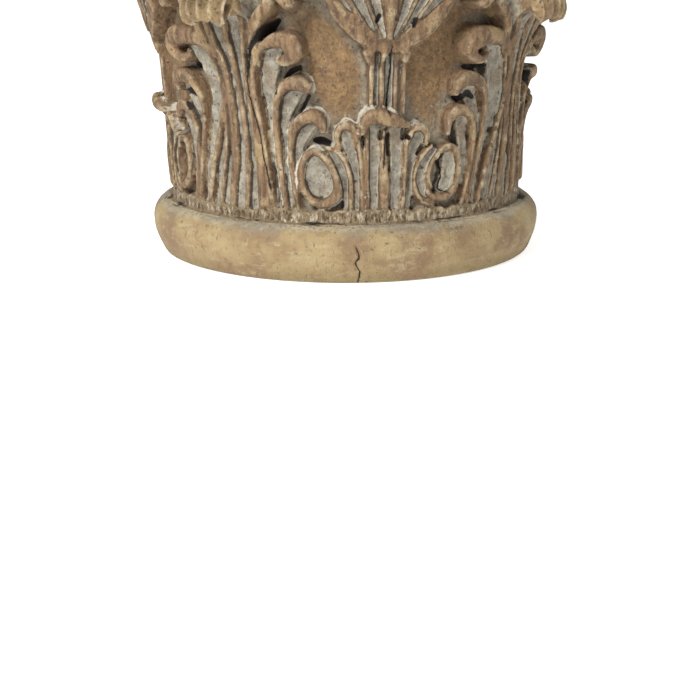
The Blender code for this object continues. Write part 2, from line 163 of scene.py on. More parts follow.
# %% Strokes along smooth paths
def smooth_path(points, steps=6):
    """A Catmull-Rom curve through rows of numbers, with steps between each pair."""
    p = np.array(points, float)
    p = np.vstack([2 * p[0] - p[1], p, 2 * p[-1] - p[-2]])
    t = np.linspace(0.0, 1.0, steps, endpoint=False)[:, None]
    runs = [0.5 * (2 * b + (c - a) * t + (2 * a - 5 * b + 4 * c - d) * t**2
                   + (3 * b - a - 3 * c + d) * t**3)
            for a, b, c, d in zip(p[:-3], p[1:-2], p[2:-1], p[3:])]
    return np.vstack(runs + [p[-2:-1]])


def mirrored(path):
    """The same path on the other side of the middle."""
    return [(-angle, *rest) for angle, *rest in path]


def under_stroke(path, facing, beyond=2.0):
    """The cells near a path, with their distance from it in half widths.

    A path's points are (angle, height, half width, lift off the bell). The result is
    the cells' index, the distance, the half width and lift beside each cell, and the
    side of the path that it is on, -1 or 1. The cells go beyond the widest half width by
    as many millimetres as that value says.
    """
    angle, z, half, lift = smooth_path(path).T
    x = (angle + facing) * MM_PER_DEGREE
    reach = half.max() + beyond
    columns = np.arange(int((x.min() - reach) / COLUMN), int((x.max() + reach) / COLUMN) + 2)
    low = max(0, int((z.min() - reach) / ROW))
    high = min(ROWS, int((z.max() + reach) / ROW) + 2)
    cells = np.ix_(np.arange(low, high), columns % COLUMNS)
    gx, gz = np.meshgrid(columns * COLUMN, heights[low:high])
    gx, gz = gx + sway_across[cells], gz + sway_up[cells]
    best = np.full(gx.shape, np.inf)
    wide, raised, hand = np.ones(gx.shape), np.zeros(gx.shape), np.ones(gx.shape)
    for n in range(len(x) - 1):
        dx, dz = x[n + 1] - x[n], z[n + 1] - z[n]
        t = ((gx - x[n]) * dx + (gz - z[n]) * dz) / max(dx * dx + dz * dz, 1e-9)
        t = np.clip(t, 0.0, 1.0)
        width = half[n] + (half[n + 1] - half[n]) * t
        away = np.hypot(gx - x[n] - t * dx, gz - z[n] - t * dz) / width
        closer = away < best
        best[closer] = away[closer]
        wide[closer] = width[closer]
        raised[closer] = (lift[n] + (lift[n + 1] - lift[n]) * t)[closer]
        hand[closer] = np.sign((gx - x[n]) * dz - (gz - z[n]) * dx)[closer]
    return cells, best, wide, raised, hand


def paint(cells, inside, relief, tone):
    """Put a stroke's height and tone into the board where it covers the cells."""
    for name, values in (("relief", relief), ("tone", tone), ("cover", 1.0), ("lit_edge_line", 0.0)):
        board[name][cells] = np.where(inside, values, board[name][cells])


# width of the white line of painted highlight beside a rib's lit edge, in millimetres
LIT_EDGE_WIDTH = 1.4
CRACK_KNOWN = 6.0
ROUNDNESS = 2.3


def ridge(path, facing, flatten=0.85, lit_edge_side=0):
    """A rounded rib or roll, stained brown, whose lift is that of its crest.

    lit_edge_side is -1 or 1 where a white line of painted highlight is drawn outside its left or
    right edge, as seen along the path: the edge that faces the light.
    """
    cells, away, wide, lift, hand = under_stroke(path, facing)
    round_top = 1.0 - (1.0 - np.clip(away, 0.0, 1.0)**ROUNDNESS)**(1.0 / ROUNDNESS)
    paint(cells, away < 1.0, lift - flatten * wide * round_top, 1.0)
    if lit_edge_side:
        beside = (away >= 1.0) & ((away - 1.0) * wide < LIT_EDGE_WIDTH) & (hand == lit_edge_side)
        board["lit_edge_line"][cells] = np.where(beside, 1.0, board["lit_edge_line"][cells])


def channel(path, facing, rise=1.8):
    """A hollow between ribs, where the whitewash has stayed; the lift is its floor's."""
    cells, away, wide, lift, _ = under_stroke(path, facing)
    paint(cells, away < 1.0, lift + rise * away**2, -1.0)


def hole(path, facing, soot_and_shade=1.0):
    """An undercut or pit, darkened with painted shade; the lift is how deep it goes below what is
    there.
    """
    cells, away, wide, depth, _ = under_stroke(path, facing)
    cut = np.clip(1.0 - away**2, 0.0, 1.0)
    board["relief"][cells] -= depth * cut
    board["soot_and_shade"][cells] = np.maximum(board["soot_and_shade"][cells], soot_and_shade * np.sqrt(cut))


def crack(path, facing):
    """A dry split, too thin for the mesh to hold as a patch of soot.

    So the board keeps how far each cell is from it, with opposite signs on its two
    sides, and the material draws a thin line where that passes through nought.
    """
    cells, away, wide, depth, hand = under_stroke(path, facing, beyond=CRACK_KNOWN)
    board["relief"][cells] -= depth * np.clip(1.0 - (0.6 * away)**2, 0.0, 1.0)
    gap = away * wide
    kept = board["split"][cells]
    board["split"][cells] = np.where(gap < np.abs(kept), hand * np.maximum(gap, 0.01), kept)


print("a ridge, a channel, a hole and a crack can be painted")

# %% [markdown]
# ## The middle of a corner leaf
#
# A corner leaf has a fan of long ribs that rise side by side to its curled tip. Between
# the ribs run narrow channels. The left half was read off the photograph and every
# corner repeats it, because all four leaves come from one pattern.

# %% Fan of ribs up the middle of each leaf, angles from the leaf's own middle
FAN_CHANNELS = (
    [(4.4, 44, 2.2, 4.6), (5.2, 65, 1.7, 4.8), (5.2, 79, 1.6, 5.0), (4.4, 100, 1.5, 5.4),
     (3.3, 118, 1.4, 6.4), (3.0, 136, 1.3, 8.4), (3.6, 152, 1.5, 12.0), (4.2, 163, 1.6, 15.5)],
    [(-0.2, 44, 4.2, 4.6), (0.6, 56, 2.6, 4.8), (1.3, 70, 1.5, 5.0), (1.4, 84, 1.2, 5.2),
     (1.1, 104, 1.0, 5.6), (0.7, 120, 0.9, 6.6), (0.0, 138, 0.9, 9.0), (-1.0, 154, 1.2, 12.6)],
    [(-5.4, 44, 2.2, 4.6), (-4.6, 62, 1.5, 4.8), (-4.0, 76, 1.1, 5.2)],
    [(-9.8, 44, 2.4, 4.4), (-7.6, 62, 2.2, 4.6), (-5.6, 84, 2.5, 4.8), (-5.2, 104, 2.6, 5.2),
     (-6.8, 122, 2.6, 6.2), (-9.4, 138, 2.4, 8.6), (-11.2, 150, 2.2, 12.0)],
)
FAN_RIBS = (
    [(8.4, 42, 5.2, 7.6), (8.0, 56, 4.2, 8.2), (7.3, 72, 3.0, 8.5), (6.4, 90, 2.3, 8.7),
     (5.3, 108, 2.0, 9.0), (4.6, 124, 1.7, 10.0), (4.5, 138, 1.5, 12.2), (5.4, 152, 1.6, 15.6),
     (6.2, 164, 1.7, 18.5)],
    [(2.3, 42, 2.0, 7.6), (3.1, 60, 2.2, 8.2), (3.4, 79, 2.2, 8.5), (2.8, 100, 2.1, 8.8),
     (2.0, 120, 2.0, 10.2), (1.2, 138, 2.0, 12.8), (0.6, 152, 2.2, 16.0), (0.9, 165, 2.4, 19.0)],
    [(-3.2, 42, 2.6, 7.4), (-2.4, 58, 3.2, 8.2), (-1.0, 78, 3.3, 8.7), (-0.9, 98, 3.2, 8.9),
     (-1.4, 116, 2.8, 10.0), (-2.6, 134, 2.6, 12.2), (-4.4, 150, 2.6, 15.8),
     (-5.4, 163, 2.6, 18.5)],
    [(-7.8, 44, 1.7, 7.2), (-6.0, 62, 1.7, 8.0), (-4.2, 82, 1.5, 8.4), (-3.7, 102, 1.5, 8.7),
     (-4.4, 120, 1.6, 9.8), (-6.4, 138, 1.8, 12.2), (-8.8, 152, 2.2, 15.6),
     (-9.8, 162, 2.4, 17.5)],
)
FAN_MARGIN = [(9.4, 134, 1.6, 9.5), (8.0, 144, 2.8, 12.5), (8.2, 154, 3.4, 15.5),
              (10.0, 163, 3.6, 17.5), (12.4, 170, 3.6, 18.5), (13.6, 173.5, 3.2, 18.5)]
FAN_GROUND = [(0.0, 40, 22.0, 4.0), (0.0, 80, 19.0, 4.2), (0.0, 104, 16.0, 4.6),
              (0.0, 122, 15.0, 6.0), (0.0, 138, 15.5, 8.4), (0.0, 152, 17.0, 12.0),
              (0.0, 164, 17.0, 15.5)]


def carve_fan(corner):
    """One corner leaf's middle: its sunk ground, its channels and then its ribs."""
    channel(FAN_GROUND, corner, rise=0.0)
    for path in FAN_CHANNELS:
        channel(path, corner, rise=1.2)
    for path in FAN_RIBS:
        ridge(path, corner)
    ridge(FAN_MARGIN, corner)
    ridge(mirrored(FAN_MARGIN), corner)


for corner in CORNERS:
    carve_fan(corner)
print("four fans of", len(FAN_RIBS), "ribs")

# %% [markdown]
# ## The curled lobes down both sides of a leaf
#
# Each lobe is a tall hollow with a rib on its outer edge. The rib runs up, over the top
# and rolls into a curl. A lobe lies over the one above it, so they are painted from the
# tallest down. The two halves differ by hand, so left and right have their own paths.

# %% Lobes left of a face's middle: (channel, rib) from the tallest to the lowest
LEFT_LOBES = (
    ([(-31.2, 42, 1.6, 4.0), (-31.8, 65, 1.6, 4.0), (-33.0, 79, 2.0, 4.0), (-34.0, 107, 2.6, 4.0),
      (-34.4, 121, 4.4, 4.4), (-33.6, 132, 5.6, 5.2), (-32.2, 141, 5.0, 7.0),
      (-30.4, 146, 3.6, 9.0)],
     [(-33.3, 40, 1.8, 6.5), (-34.1, 52, 2.2, 8.0), (-35.2, 65, 2.4, 8.5), (-35.9, 79, 2.5, 8.8),
      (-36.9, 95, 2.5, 9.0), (-38.0, 110, 2.4, 9.5), (-38.5, 122, 2.1, 10.2),
      (-38.0, 134, 1.8, 11.0), (-36.4, 142, 2.0, 12.5), (-34.2, 147.6, 2.5, 14.5),
      (-31.6, 151.0, 4.0, 16.5), (-28.8, 151.8, 5.2, 17.5), (-26.6, 150.4, 5.9, 18.0),
      (-25.7, 146.8, 5.7, 18.0), (-25.8, 143.0, 4.9, 17.0), (-26.8, 139.8, 3.8, 15.5),
      (-28.4, 138.0, 2.7, 14.5), (-29.8, 139.4, 2.0, 13.5), (-29.4, 141.8, 1.5, 12.5)]),
    ([(-28.4, 42, 1.3, 4.0), (-28.9, 66, 1.5, 4.0), (-29.6, 86, 1.7, 4.0), (-29.8, 98, 2.4, 4.0),
      (-29.0, 108, 3.6, 4.2), (-27.4, 116, 4.6, 5.2), (-25.6, 121, 3.8, 7.0)],
     [(-29.5, 40, 1.8, 6.5), (-30.0, 54, 2.0, 7.6), (-30.8, 66, 2.2, 8.2), (-31.6, 80, 2.3, 8.6),
      (-32.0, 95, 2.4, 9.2), (-31.8, 108, 2.5, 10.0), (-31.0, 116.5, 2.7, 11.2),
      (-29.4, 122.4, 3.3, 12.5), (-26.9, 125.4, 4.5, 14.0), (-24.6, 125.8, 4.8, 14.5),
      (-23.2, 123.6, 3.8, 13.5), (-22.8, 121.4, 2.4, 11.5)]),
    ([(-25.8, 62, 1.2, 4.0), (-26.2, 74, 1.6, 4.0), (-26.0, 82, 2.4, 4.0), (-25.2, 90, 3.4, 4.2),
      (-23.6, 96, 3.8, 5.0), (-21.8, 100, 3.0, 6.5)],
     [(-25.8, 40, 1.6, 6.5), (-26.6, 54, 1.7, 7.4), (-27.5, 68, 1.8, 8.0), (-28.0, 80, 2.0, 8.5),
      (-27.7, 90, 2.4, 9.2), (-26.5, 98, 3.1, 10.4), (-24.5, 103.0, 3.9, 12.0),
      (-22.0, 105.4, 4.5, 12.5), (-20.1, 104.2, 4.3, 12.5), (-19.0, 100.6, 3.4, 11.5),
      (-18.6, 96.6, 2.0, 9.5)]),
)
RIGHT_LOBES = (
    ([(30.0, 46, 1.4, 4.0), (31.2, 62, 1.6, 4.0), (33.0, 78, 2.0, 4.0), (34.8, 92, 2.8, 4.0),
      (36.2, 105, 4.2, 4.0), (37.0, 118, 5.6, 4.2), (36.2, 130, 6.8, 5.0), (33.6, 140, 6.2, 7.0),
      (31.4, 146, 4.0, 9.0)],
     [(31.6, 40, 1.8, 6.5), (33.4, 56, 2.1, 7.8), (35.2, 70, 2.3, 8.3), (36.9, 82, 2.4, 8.7),
      (38.9, 96, 2.0, 9.0), (41.0, 110, 2.1, 9.5), (42.4, 122, 2.1, 10.0),
      (42.4, 132, 2.2, 11.0), (41.0, 140, 2.4, 12.5), (38.2, 147, 3.0, 14.0),
      (34.4, 151.0, 4.6, 16.0), (30.0, 153.0, 6.0, 17.5), (25.8, 152.8, 6.8, 18.5),
      (23.2, 149.2, 6.0, 18.5), (22.6, 144.4, 4.8, 17.5), (24.2, 140.2, 3.9, 16.0),
      (27.0, 138.4, 3.0, 15.0), (29.4, 140.2, 2.3, 13.5), (29.3, 143.4, 1.7, 12.5)]),
    ([(27.0, 46, 1.3, 4.0), (28.2, 66, 1.5, 4.0), (28.9, 80, 1.8, 4.0), (29.3, 92, 2.8, 4.0),
      (28.8, 103, 4.4, 4.2), (27.0, 112, 5.2, 4.8), (25.0, 119, 5.0, 6.5)],
     [(26.6, 40, 1.7, 6.5), (28.0, 56, 1.9, 7.5), (29.4, 68, 2.0, 8.2), (30.6, 82, 2.1, 8.6),
      (31.7, 94, 1.9, 9.0), (32.3, 105, 2.0, 9.6), (31.8, 114, 2.3, 10.6),
      (30.0, 121, 3.1, 12.0), (27.4, 125.2, 4.1, 13.5), (24.6, 127.0, 4.9, 14.5),
      (22.0, 126.0, 4.8, 14.5), (20.6, 122.6, 3.8, 13.0), (20.2, 118.0, 2.2, 10.5)]),
    ([(24.6, 60, 1.4, 4.0), (25.0, 74, 2.2, 4.0), (24.8, 84, 3.4, 4.0), (24.0, 94, 4.4, 4.6),
      (22.8, 100.5, 4.2, 6.2)],
     [(24.4, 40, 1.5, 6.5), (25.8, 54, 1.6, 7.4), (27.0, 66, 1.7, 8.0), (28.0, 79, 1.9, 8.5),
      (28.3, 90, 1.9, 9.0), (27.4, 98, 2.3, 10.0), (25.8, 103.4, 2.9, 11.0),
      (23.6, 106.6, 3.4, 11.5), (21.2, 107.0, 3.6, 11.5), (19.3, 104.2, 3.3, 11.0),
      (18.5, 98.6, 2.5, 10.0), (18.6, 92.6, 1.7, 8.5)]),
)


def carve_lobes(lobes, facing, lit_edge_sides=(0, 0, 0)):
    """The curled lobes of one leaf half, tallest first, with painted highlight lines on their lit
    sides.
    """
    for (hollow, rib), lit_edge_side in zip(lobes, lit_edge_sides):
        channel(hollow, facing)
        ridge(rib, facing, lit_edge_side=lit_edge_side)


for facing in FACES:
    carve_lobes(LEFT_LOBES, facing, lit_edge_sides=(0, -1, -1))
    carve_lobes(RIGHT_LOBES, facing)
print("eight leaf halves of", len(LEFT_LOBES), "curled lobes")

# %% [markdown]
# ## The rings and the palmette low on each face
#
# Below the lobes sits a ring with a hollow bowl, and between the rings a small palmette:
# two side loops, two inner ribs and a rolled cap over two flutes. These are the forms
# that the eye meets first, so each one has its own paths.

# %% Ring lobes
LEFT_RING = [(-20.9, 83.8, 2.1, 8.0), (-18.6, 80.2, 2.4, 8.4), (-16.4, 74.4, 2.6, 8.7),
             (-14.6, 67.0, 3.0, 9.0), (-14.3, 59.0, 3.6, 9.2), (-15.9, 53.0, 3.8, 9.2),
             (-18.8, 50.4, 3.2, 8.8), (-21.9, 52.6, 2.7, 8.6), (-24.2, 58.6, 2.6, 8.6),
             (-25.2, 66.6, 2.5, 8.6), (-24.8, 74.6, 2.3, 8.4), (-23.4, 80.6, 2.2, 8.2),
             (-21.2, 84.0, 2.1, 8.0)]
LEFT_BOWL = [(-20.8, 77, 4.6, 4.8), (-20.2, 70, 7.8, 3.4), (-19.6, 62, 8.6, 2.8),
             (-18.9, 57, 6.4, 3.2)]
RIGHT_RING = [(15.2, 78.0, 1.7, 8.0), (16.2, 82.4, 2.0, 8.6), (18.5, 84.6, 2.3, 9.0),
              (20.8, 83.0, 2.4, 9.0), (22.3, 77.6, 2.4, 8.8), (22.8, 70.0, 2.4, 8.6),
              (22.2, 62.0, 2.5, 8.6), (20.5, 55.6, 2.8, 8.8), (17.6, 51.8, 2.8, 8.8),
              (14.6, 52.6, 2.5, 8.4), (12.6, 56.4, 2.0, 7.8)]
RIGHT_BOWL = [(19.0, 78.5, 3.0, 4.6), (19.7, 71, 4.6, 3.6), (19.2, 63, 4.6, 3.4),
              (17.6, 57.5, 3.2, 4.0)]
RIGHT_ARM = [(14.4, 82.5, 2.4, 5.0), (11.9, 76.5, 3.0, 4.4), (10.4, 68.5, 3.1, 4.0),
             (10.6, 60.5, 3.0, 4.0), (12.4, 54.5, 2.4, 4.6)]
RIGHT_ARM_RIBS = (
    [(13.2, 86.0, 1.5, 7.8), (10.7, 80.0, 1.5, 7.8), (8.6, 72.0, 1.5, 7.8), (8.1, 63.0, 1.5, 7.8),
     (9.2, 55.0, 1.6, 7.8), (11.6, 49.6, 1.8, 7.8), (14.6, 47.6, 1.8, 7.6)],
    [(15.4, 81.0, 1.5, 7.6), (13.4, 74.0, 1.6, 7.6), (12.6, 66.0, 1.6, 7.6),
     (13.6, 59.6, 1.5, 7.4)],
)


def carve_rings(facing):
    """The lowest lobe of each leaf half: a closed ring at left, an open one at right."""
    channel(LEFT_BOWL, facing, rise=2.6)
    ridge(LEFT_RING, facing, lit_edge_side=-1)
    channel(RIGHT_BOWL, facing, rise=2.4)
    channel(RIGHT_ARM, facing)
    for path in RIGHT_ARM_RIBS:
        ridge(path, facing)
    ridge(RIGHT_RING, facing)


for facing in FACES:
    carve_rings(facing)
print("eight rings")

# %% The palmette between them
SIDE_LOOPS = (
    ([(-16.2, 83.0, 2.2, 4.4), (-14.4, 76.0, 2.6, 4.0), (-12.8, 68.0, 2.4, 3.8),
      (-12.1, 58.0, 1.9, 3.8), (-12.2, 48.0, 1.6, 4.0)],
     [(-17.4, 86.2, 1.5, 7.0), (-14.6, 83.2, 1.6, 7.6), (-12.4, 77.0, 1.6, 8.0),
      (-11.2, 69.0, 1.6, 8.0), (-10.7, 60.0, 1.6, 7.8), (-10.7, 46.0, 1.6, 7.2)]),
    ([(-12.2, 95.4, 2.6, 5.4), (-11.6, 88.0, 3.2, 4.6), (-10.1, 79.0, 3.1, 4.0),
      (-9.2, 70.0, 2.3, 3.8), (-9.0, 58.0, 1.7, 3.8), (-9.0, 47.0, 1.5, 4.0)],
     [(-14.0, 86.0, 1.4, 7.8), (-14.8, 92.4, 1.7, 8.8), (-13.9, 97.8, 2.1, 9.8),
      (-12.0, 99.9, 2.4, 10.2), (-10.2, 98.2, 2.2, 10.0), (-9.0, 92.0, 1.9, 9.4),
      (-8.1, 82.0, 1.8, 9.0), (-7.6, 68.0, 1.7, 8.6), (-7.5, 46.0, 1.6, 7.4)]),
    ([(9.6, 94.0, 3.2, 5.4), (8.0, 87.0, 3.5, 4.6), (7.0, 78.0, 3.1, 4.0),
      (6.5, 66.0, 2.5, 3.8), (6.6, 48.0, 2.0, 3.8)],
     [(4.6, 46.0, 1.5, 7.2), (4.9, 62.0, 1.6, 8.0), (5.0, 76.0, 1.7, 8.6), (5.3, 87.0, 1.8, 9.4),
      (6.4, 94.6, 2.1, 10.2), (8.2, 98.0, 2.4, 10.8), (10.2, 96.8, 2.5, 10.8),
      (11.3, 92.6, 2.4, 10.2), (11.0, 88.0, 1.9, 9.0)]),
)
MIDDLE_FLUTES = ([(-4.4, 99.0, 3.8, 5.6), (-4.2, 82.0, 3.4, 4.6), (-4.0, 62.0, 2.9, 4.0),
                  (-3.9, 47.0, 2.4, 4.0)],
                 [(2.1, 99.0, 3.9, 5.6), (2.3, 82.0, 3.5, 4.6), (2.2, 62.0, 3.0, 4.0),
                  (2.0, 47.0, 2.5, 4.0)])
MIDDLE_RIBS = ([(-1.0, 99.0, 1.7, 8.6), (-1.2, 86.0, 1.9, 8.8), (-1.6, 74.0, 2.6, 9.2),
                (-1.2, 62.0, 3.4, 9.0), (-1.0, 46.0, 3.0, 7.8)],
               [(-6.3, 97.0, 1.4, 8.4), (-6.2, 78.0, 1.4, 8.2), (-5.9, 60.0, 1.3, 7.8),
                (-5.8, 46.0, 1.3, 7.2)])
MIDDLE_CAP = [(-7.6, 95.0, 1.8, 10.5), (-7.0, 101.0, 2.9, 13.0), (-5.4, 104.8, 4.3, 15.8),
              (-3.0, 105.8, 5.0, 17.0), (-0.4, 104.0, 4.8, 17.0), (2.2, 101.8, 3.5, 15.0),
              (4.8, 99.8, 2.0, 12.0)]


def carve_palmette(facing):
    """The small palmette: loops at its sides, flutes in its middle, a rolled cap."""
    for hollow, rib in SIDE_LOOPS:
        channel(hollow, facing)
        ridge(rib, facing, lit_edge_side=-1)
    for path in MIDDLE_FLUTES:
        channel(path, facing)
    for path in MIDDLE_RIBS:
        ridge(path, facing)
    ridge(MIDDLE_CAP, facing, flatten=1.0, lit_edge_side=-1)


for facing in FACES:
    carve_palmette(facing)
print("four palmettes")

# %% [markdown]
# ## Stem, calyx and scrolls above the palmette
#
# A reeded stem rises from each palmette to a collar of two drops. Out of the collar grows
# a calyx, a fan of hollow petals whose outermost pair curls over. Above it, under the
# top, two scrolls roll up against the bell. The photograph is cut off half way up the
# calyx, so what lies above follows the usual form of such capitals, and plainer. The
# palmette's cap lies over the foot of the stem, so it is painted once more after it.

# %% Stem and collar
REED_PLACES = (-5.0, -2.3, 1.5, 3.7)
STEM_GROUND = [(-1.0, 108.0, 10.5, 5.0), (-1.0, 146.0, 10.0, 6.0)]
COLLAR_DROPS = (
    [(-1.8, 150.4, 3.2, 13.5), (-4.4, 149.6, 3.8, 14.0), (-6.2, 145.0, 3.3, 13.5),
     (-6.2, 140.0, 2.2, 12.0)],
    [(-1.7, 149.0, 3.0, 13.0), (-2.0, 143.6, 2.4, 12.0), (-2.3, 139.4, 1.4, 10.5)],
    [(0.0, 150.0, 3.2, 13.5), (2.2, 149.2, 3.8, 14.0), (3.8, 144.6, 3.3, 13.5),
     (3.8, 139.6, 2.2, 12.0)],
)


def carve_stem(facing):
    """The stem's upright reeds, and the drops that hang from its collar."""
    channel(STEM_GROUND, facing, rise=0.0)
    for place in REED_PLACES:
        ridge([(place, 107.0, 1.7, 9.0), (place, 142.0, 1.5, 9.8)], facing)
    for path in COLLAR_DROPS:
        ridge(path, facing)


for facing in FACES:
    carve_stem(facing)
    ridge(MIDDLE_CAP, facing, flatten=1.0, lit_edge_side=-1)
print("four stems of", len(REED_PLACES), "reeds")

# %% Calyx petals, fanned out from the collar
CALYX_FOOT = 149.0
PETAL_LEANS = (-15.5, -10.2, -5.4, 5.0, 9.6, 14.2)
CALYX_GROUND = [(-1.2, 152.0, 9.0, 11.5), (-1.0, 166.0, 22.0, 14.5), (-0.8, 182.0, 36.0, 19.0),
                (-0.6, 196.0, 40.0, 22.0)]


def petal_path(lean, width, low, high):
    """A petal's middle line, from the collar up and outwards by its lean."""
    points = []
    for n in range(7):
        t = n / 6
        angle = -1.0 + 0.25 * lean + lean * 1.05 * t**0.8
        points.append((angle, CALYX_FOOT + 4.0 + 54.0 * t * (1.0 - 0.010 * abs(lean)),
                       width * (0.35 + 0.65 * t), low + (high - low) * t))
    return points


OUTER_PETAL = [(-5.0, 153.0, 1.5, 14.0), (-9.0, 161.0, 1.8, 16.0), (-14.0, 171.5, 2.2, 19.0),
               (-18.4, 181.0, 3.4, 22.0), (-22.4, 186.6, 5.0, 24.0), (-25.8, 184.6, 5.6, 24.5),
               (-27.2, 178.6, 5.2, 23.5), (-26.2, 173.4, 4.2, 21.5)]


def carve_calyx(facing):
    """A cone of stone with hollow petals, ribs between them and curled outer petals."""
    ridge(CALYX_GROUND, facing, flatten=0.12)
    for lean in PETAL_LEANS:
        channel(petal_path(lean, 4.6, 12.5, 22.0), facing, rise=3.0)
    for low, high in zip(PETAL_LEANS, PETAL_LEANS[1:]):
        lean = 0.5 * (low + high)
        middle = abs(lean) < 2.0
        ridge(petal_path(lean, 4.4 if middle else 2.0, 16.0 if middle else 14.5, 26.5), facing)
    ridge(OUTER_PETAL, facing)
    ridge([(-2.0 - angle, *rest) for angle, *rest in OUTER_PETAL], facing)


for facing in FACES:
    carve_calyx(facing)
print("four calyxes of", len(PETAL_LEANS), "petals")

# %% Inner scrolls that roll up against the bell under the top
SCROLL_RADIUS = 16.5
SCROLL_MIDDLE = 244.0
SCROLL_PLACE = 13.6
SCROLL_START = -160.0
SCROLL_TURN = 600.0
WOUND_IN = 0.84


def spiral(radius, start, turn, steps):
    """Points (across, up, share) of a spiral that winds in clockwise to its eye."""
    for n in range(steps + 1):
        t = n / steps
        around = math.radians(start - turn * t)
        reach = radius * (1.0 - WOUND_IN * t)
        yield reach * math.cos(around), reach * math.sin(around), t


def scroll_path():
    """A path that starts below, outside the scroll, and ends in its eye."""
    points = [(2.6, 209.0, 3.0, 12.0), (3.6, 224.0, 3.4, 13.0)]
    for across, up, t in spiral(SCROLL_RADIUS - 3.5, SCROLL_START, SCROLL_TURN, 27):
        points.append((SCROLL_PLACE + across / MM_PER_DEGREE, SCROLL_MIDDLE + up,
                       3.4 - 1.0 * t, 13.0 + 4.0 * t))
    return points


for facing in FACES:
    for path in (scroll_path(), mirrored(scroll_path())):
        channel([(angle, z, 3.2 + half, 8.0) for angle, z, half, _ in path[8:]], facing, 0.0)
        ridge(path, facing)
print("eight inner scrolls of radius", SCROLL_RADIUS, "mm")

# %% [markdown]
# ## Chisel marks, pits and cracks
#
# Along its foot the carving ends in a fringe of upright chisel marks. The original had
# dried and split in places, and the casting copies the splits as thin black lines, so
# each crack marks how far from it the board's cells are. Each hole darkens the board with
# painted shade, for the shadow in undercuts, the deepest hollows and the chips.

# %% The chiselled fringe along the foot
FRINGE_LIFT = 6.2
FRINGE_TOP = 46.5


def carve_fringe():
    """A rough band above the base, over the feet of the leaves, and nothing below it."""
    top = FRINGE_TOP + 1.8 * round_bell(6.0, 11)[0]
    band = np.clip((top[None, :] - heights[:, None]) / 1.5, 0.0, 1.0)
    worn = 0.5 + 0.5 * round_bell(12.0, 13)
    level = FRINGE_LIFT + 0.9 * worn * round_bell(5.0, 12) + 0.5 * round_bell(3.0, 14)
    kept = board["relief"]
    board["relief"] = kept + (np.maximum(level, 0.35 * kept + 3.5) - kept) * band
    board["tone"] = board["tone"] * (1.0 - band)
    board["cover"] = np.maximum(board["cover"], band)
    board["fringe"] = band
    below = heights < BASE_TOP
    for name in ("relief", "tone", "cover", "fringe", "lit_edge_line"):
        board[name][below] = 0.0


carve_fringe()
print("a fringe", FRINGE_LIFT, "mm off the bell, up to a height of", FRINGE_TOP, "mm")


# %% Smooth borders between stain, whitewash and plain ground
def spread(layer, reach):
    """A board layer averaged over a square of that reach, round the seam too."""
    across, up = int(reach / COLUMN), int(reach / ROW)
    wide = sum(np.roll(layer, n, axis=1) for n in range(-across, across + 1))
    tall = np.pad(wide / (2 * across + 1), ((up, up), (0, 0)), mode="edge")
    return sum(tall[n:n + ROWS] for n in range(2 * up + 1)) / (2 * up + 1)


SOFT = 0.8
HAZE_REACHES = (11.0, 7.0)


def soften_borders():
    """Turn hard steps into slopes, whose middle a coarse mesh can still place exactly.

    The haze is how near the carving is, and the side says whether a rib's foot faces
    left, towards the light, where it gets a painted highlight, or right, where it gets painted
    shade.
    """
    wide, narrow = HAZE_REACHES
    board["haze"] = spread(spread(board["cover"], wide), narrow)
    for name in ("tone", "cover", "fringe"):
        board[name] = spread(spread(board[name], SOFT), SOFT)
    board["lit_edge_line"] = spread(board["lit_edge_line"], SOFT)
    turn = np.roll(board["tone"], -3, axis=1) - np.roll(board["tone"], 3, axis=1)
    board["side"] = spread(np.clip(1.2 * turn, -1.0, 1.0), SOFT)


soften_borders()
print("borders softened over", SOFT, "mm each way")

# %% Cracks and dark holes, the same on every face
FACE_CRACKS = (
    [(-0.5, 98.5, 0.8, 3.0), (-0.9, 88.0, 0.9, 3.0), (-1.5, 75.0, 0.7, 2.0)],
    [(0.0, 146.0, 0.7, 2.0), (0.2, 134.0, 0.7, 2.0), (-0.2, 122.0, 0.8, 3.0),
     (-0.5, 108.0, 1.1, 3.0)],
    [(16.5, 79.0, 0.7, 2.0), (17.5, 72.0, 0.8, 2.0), (17.6, 65.0, 0.8, 2.0),
     (16.6, 58.0, 0.8, 2.0), (18.6, 55.4, 0.6, 1.5)],
    [(19.4, 98.0, 0.6, 1.5), (20.8, 92.0, 0.6, 1.5), (21.8, 87.6, 0.5, 1.0)],
    [(-38.9, 143.0, 1.0, 2.0), (-40.0, 128.0, 0.9, 2.0), (-39.2, 111.0, 0.9, 2.0),
     (-37.2, 93.0, 0.8, 2.0), (-35.8, 76.0, 0.7, 1.5), (-34.2, 58.0, 0.6, 1.0)],
)
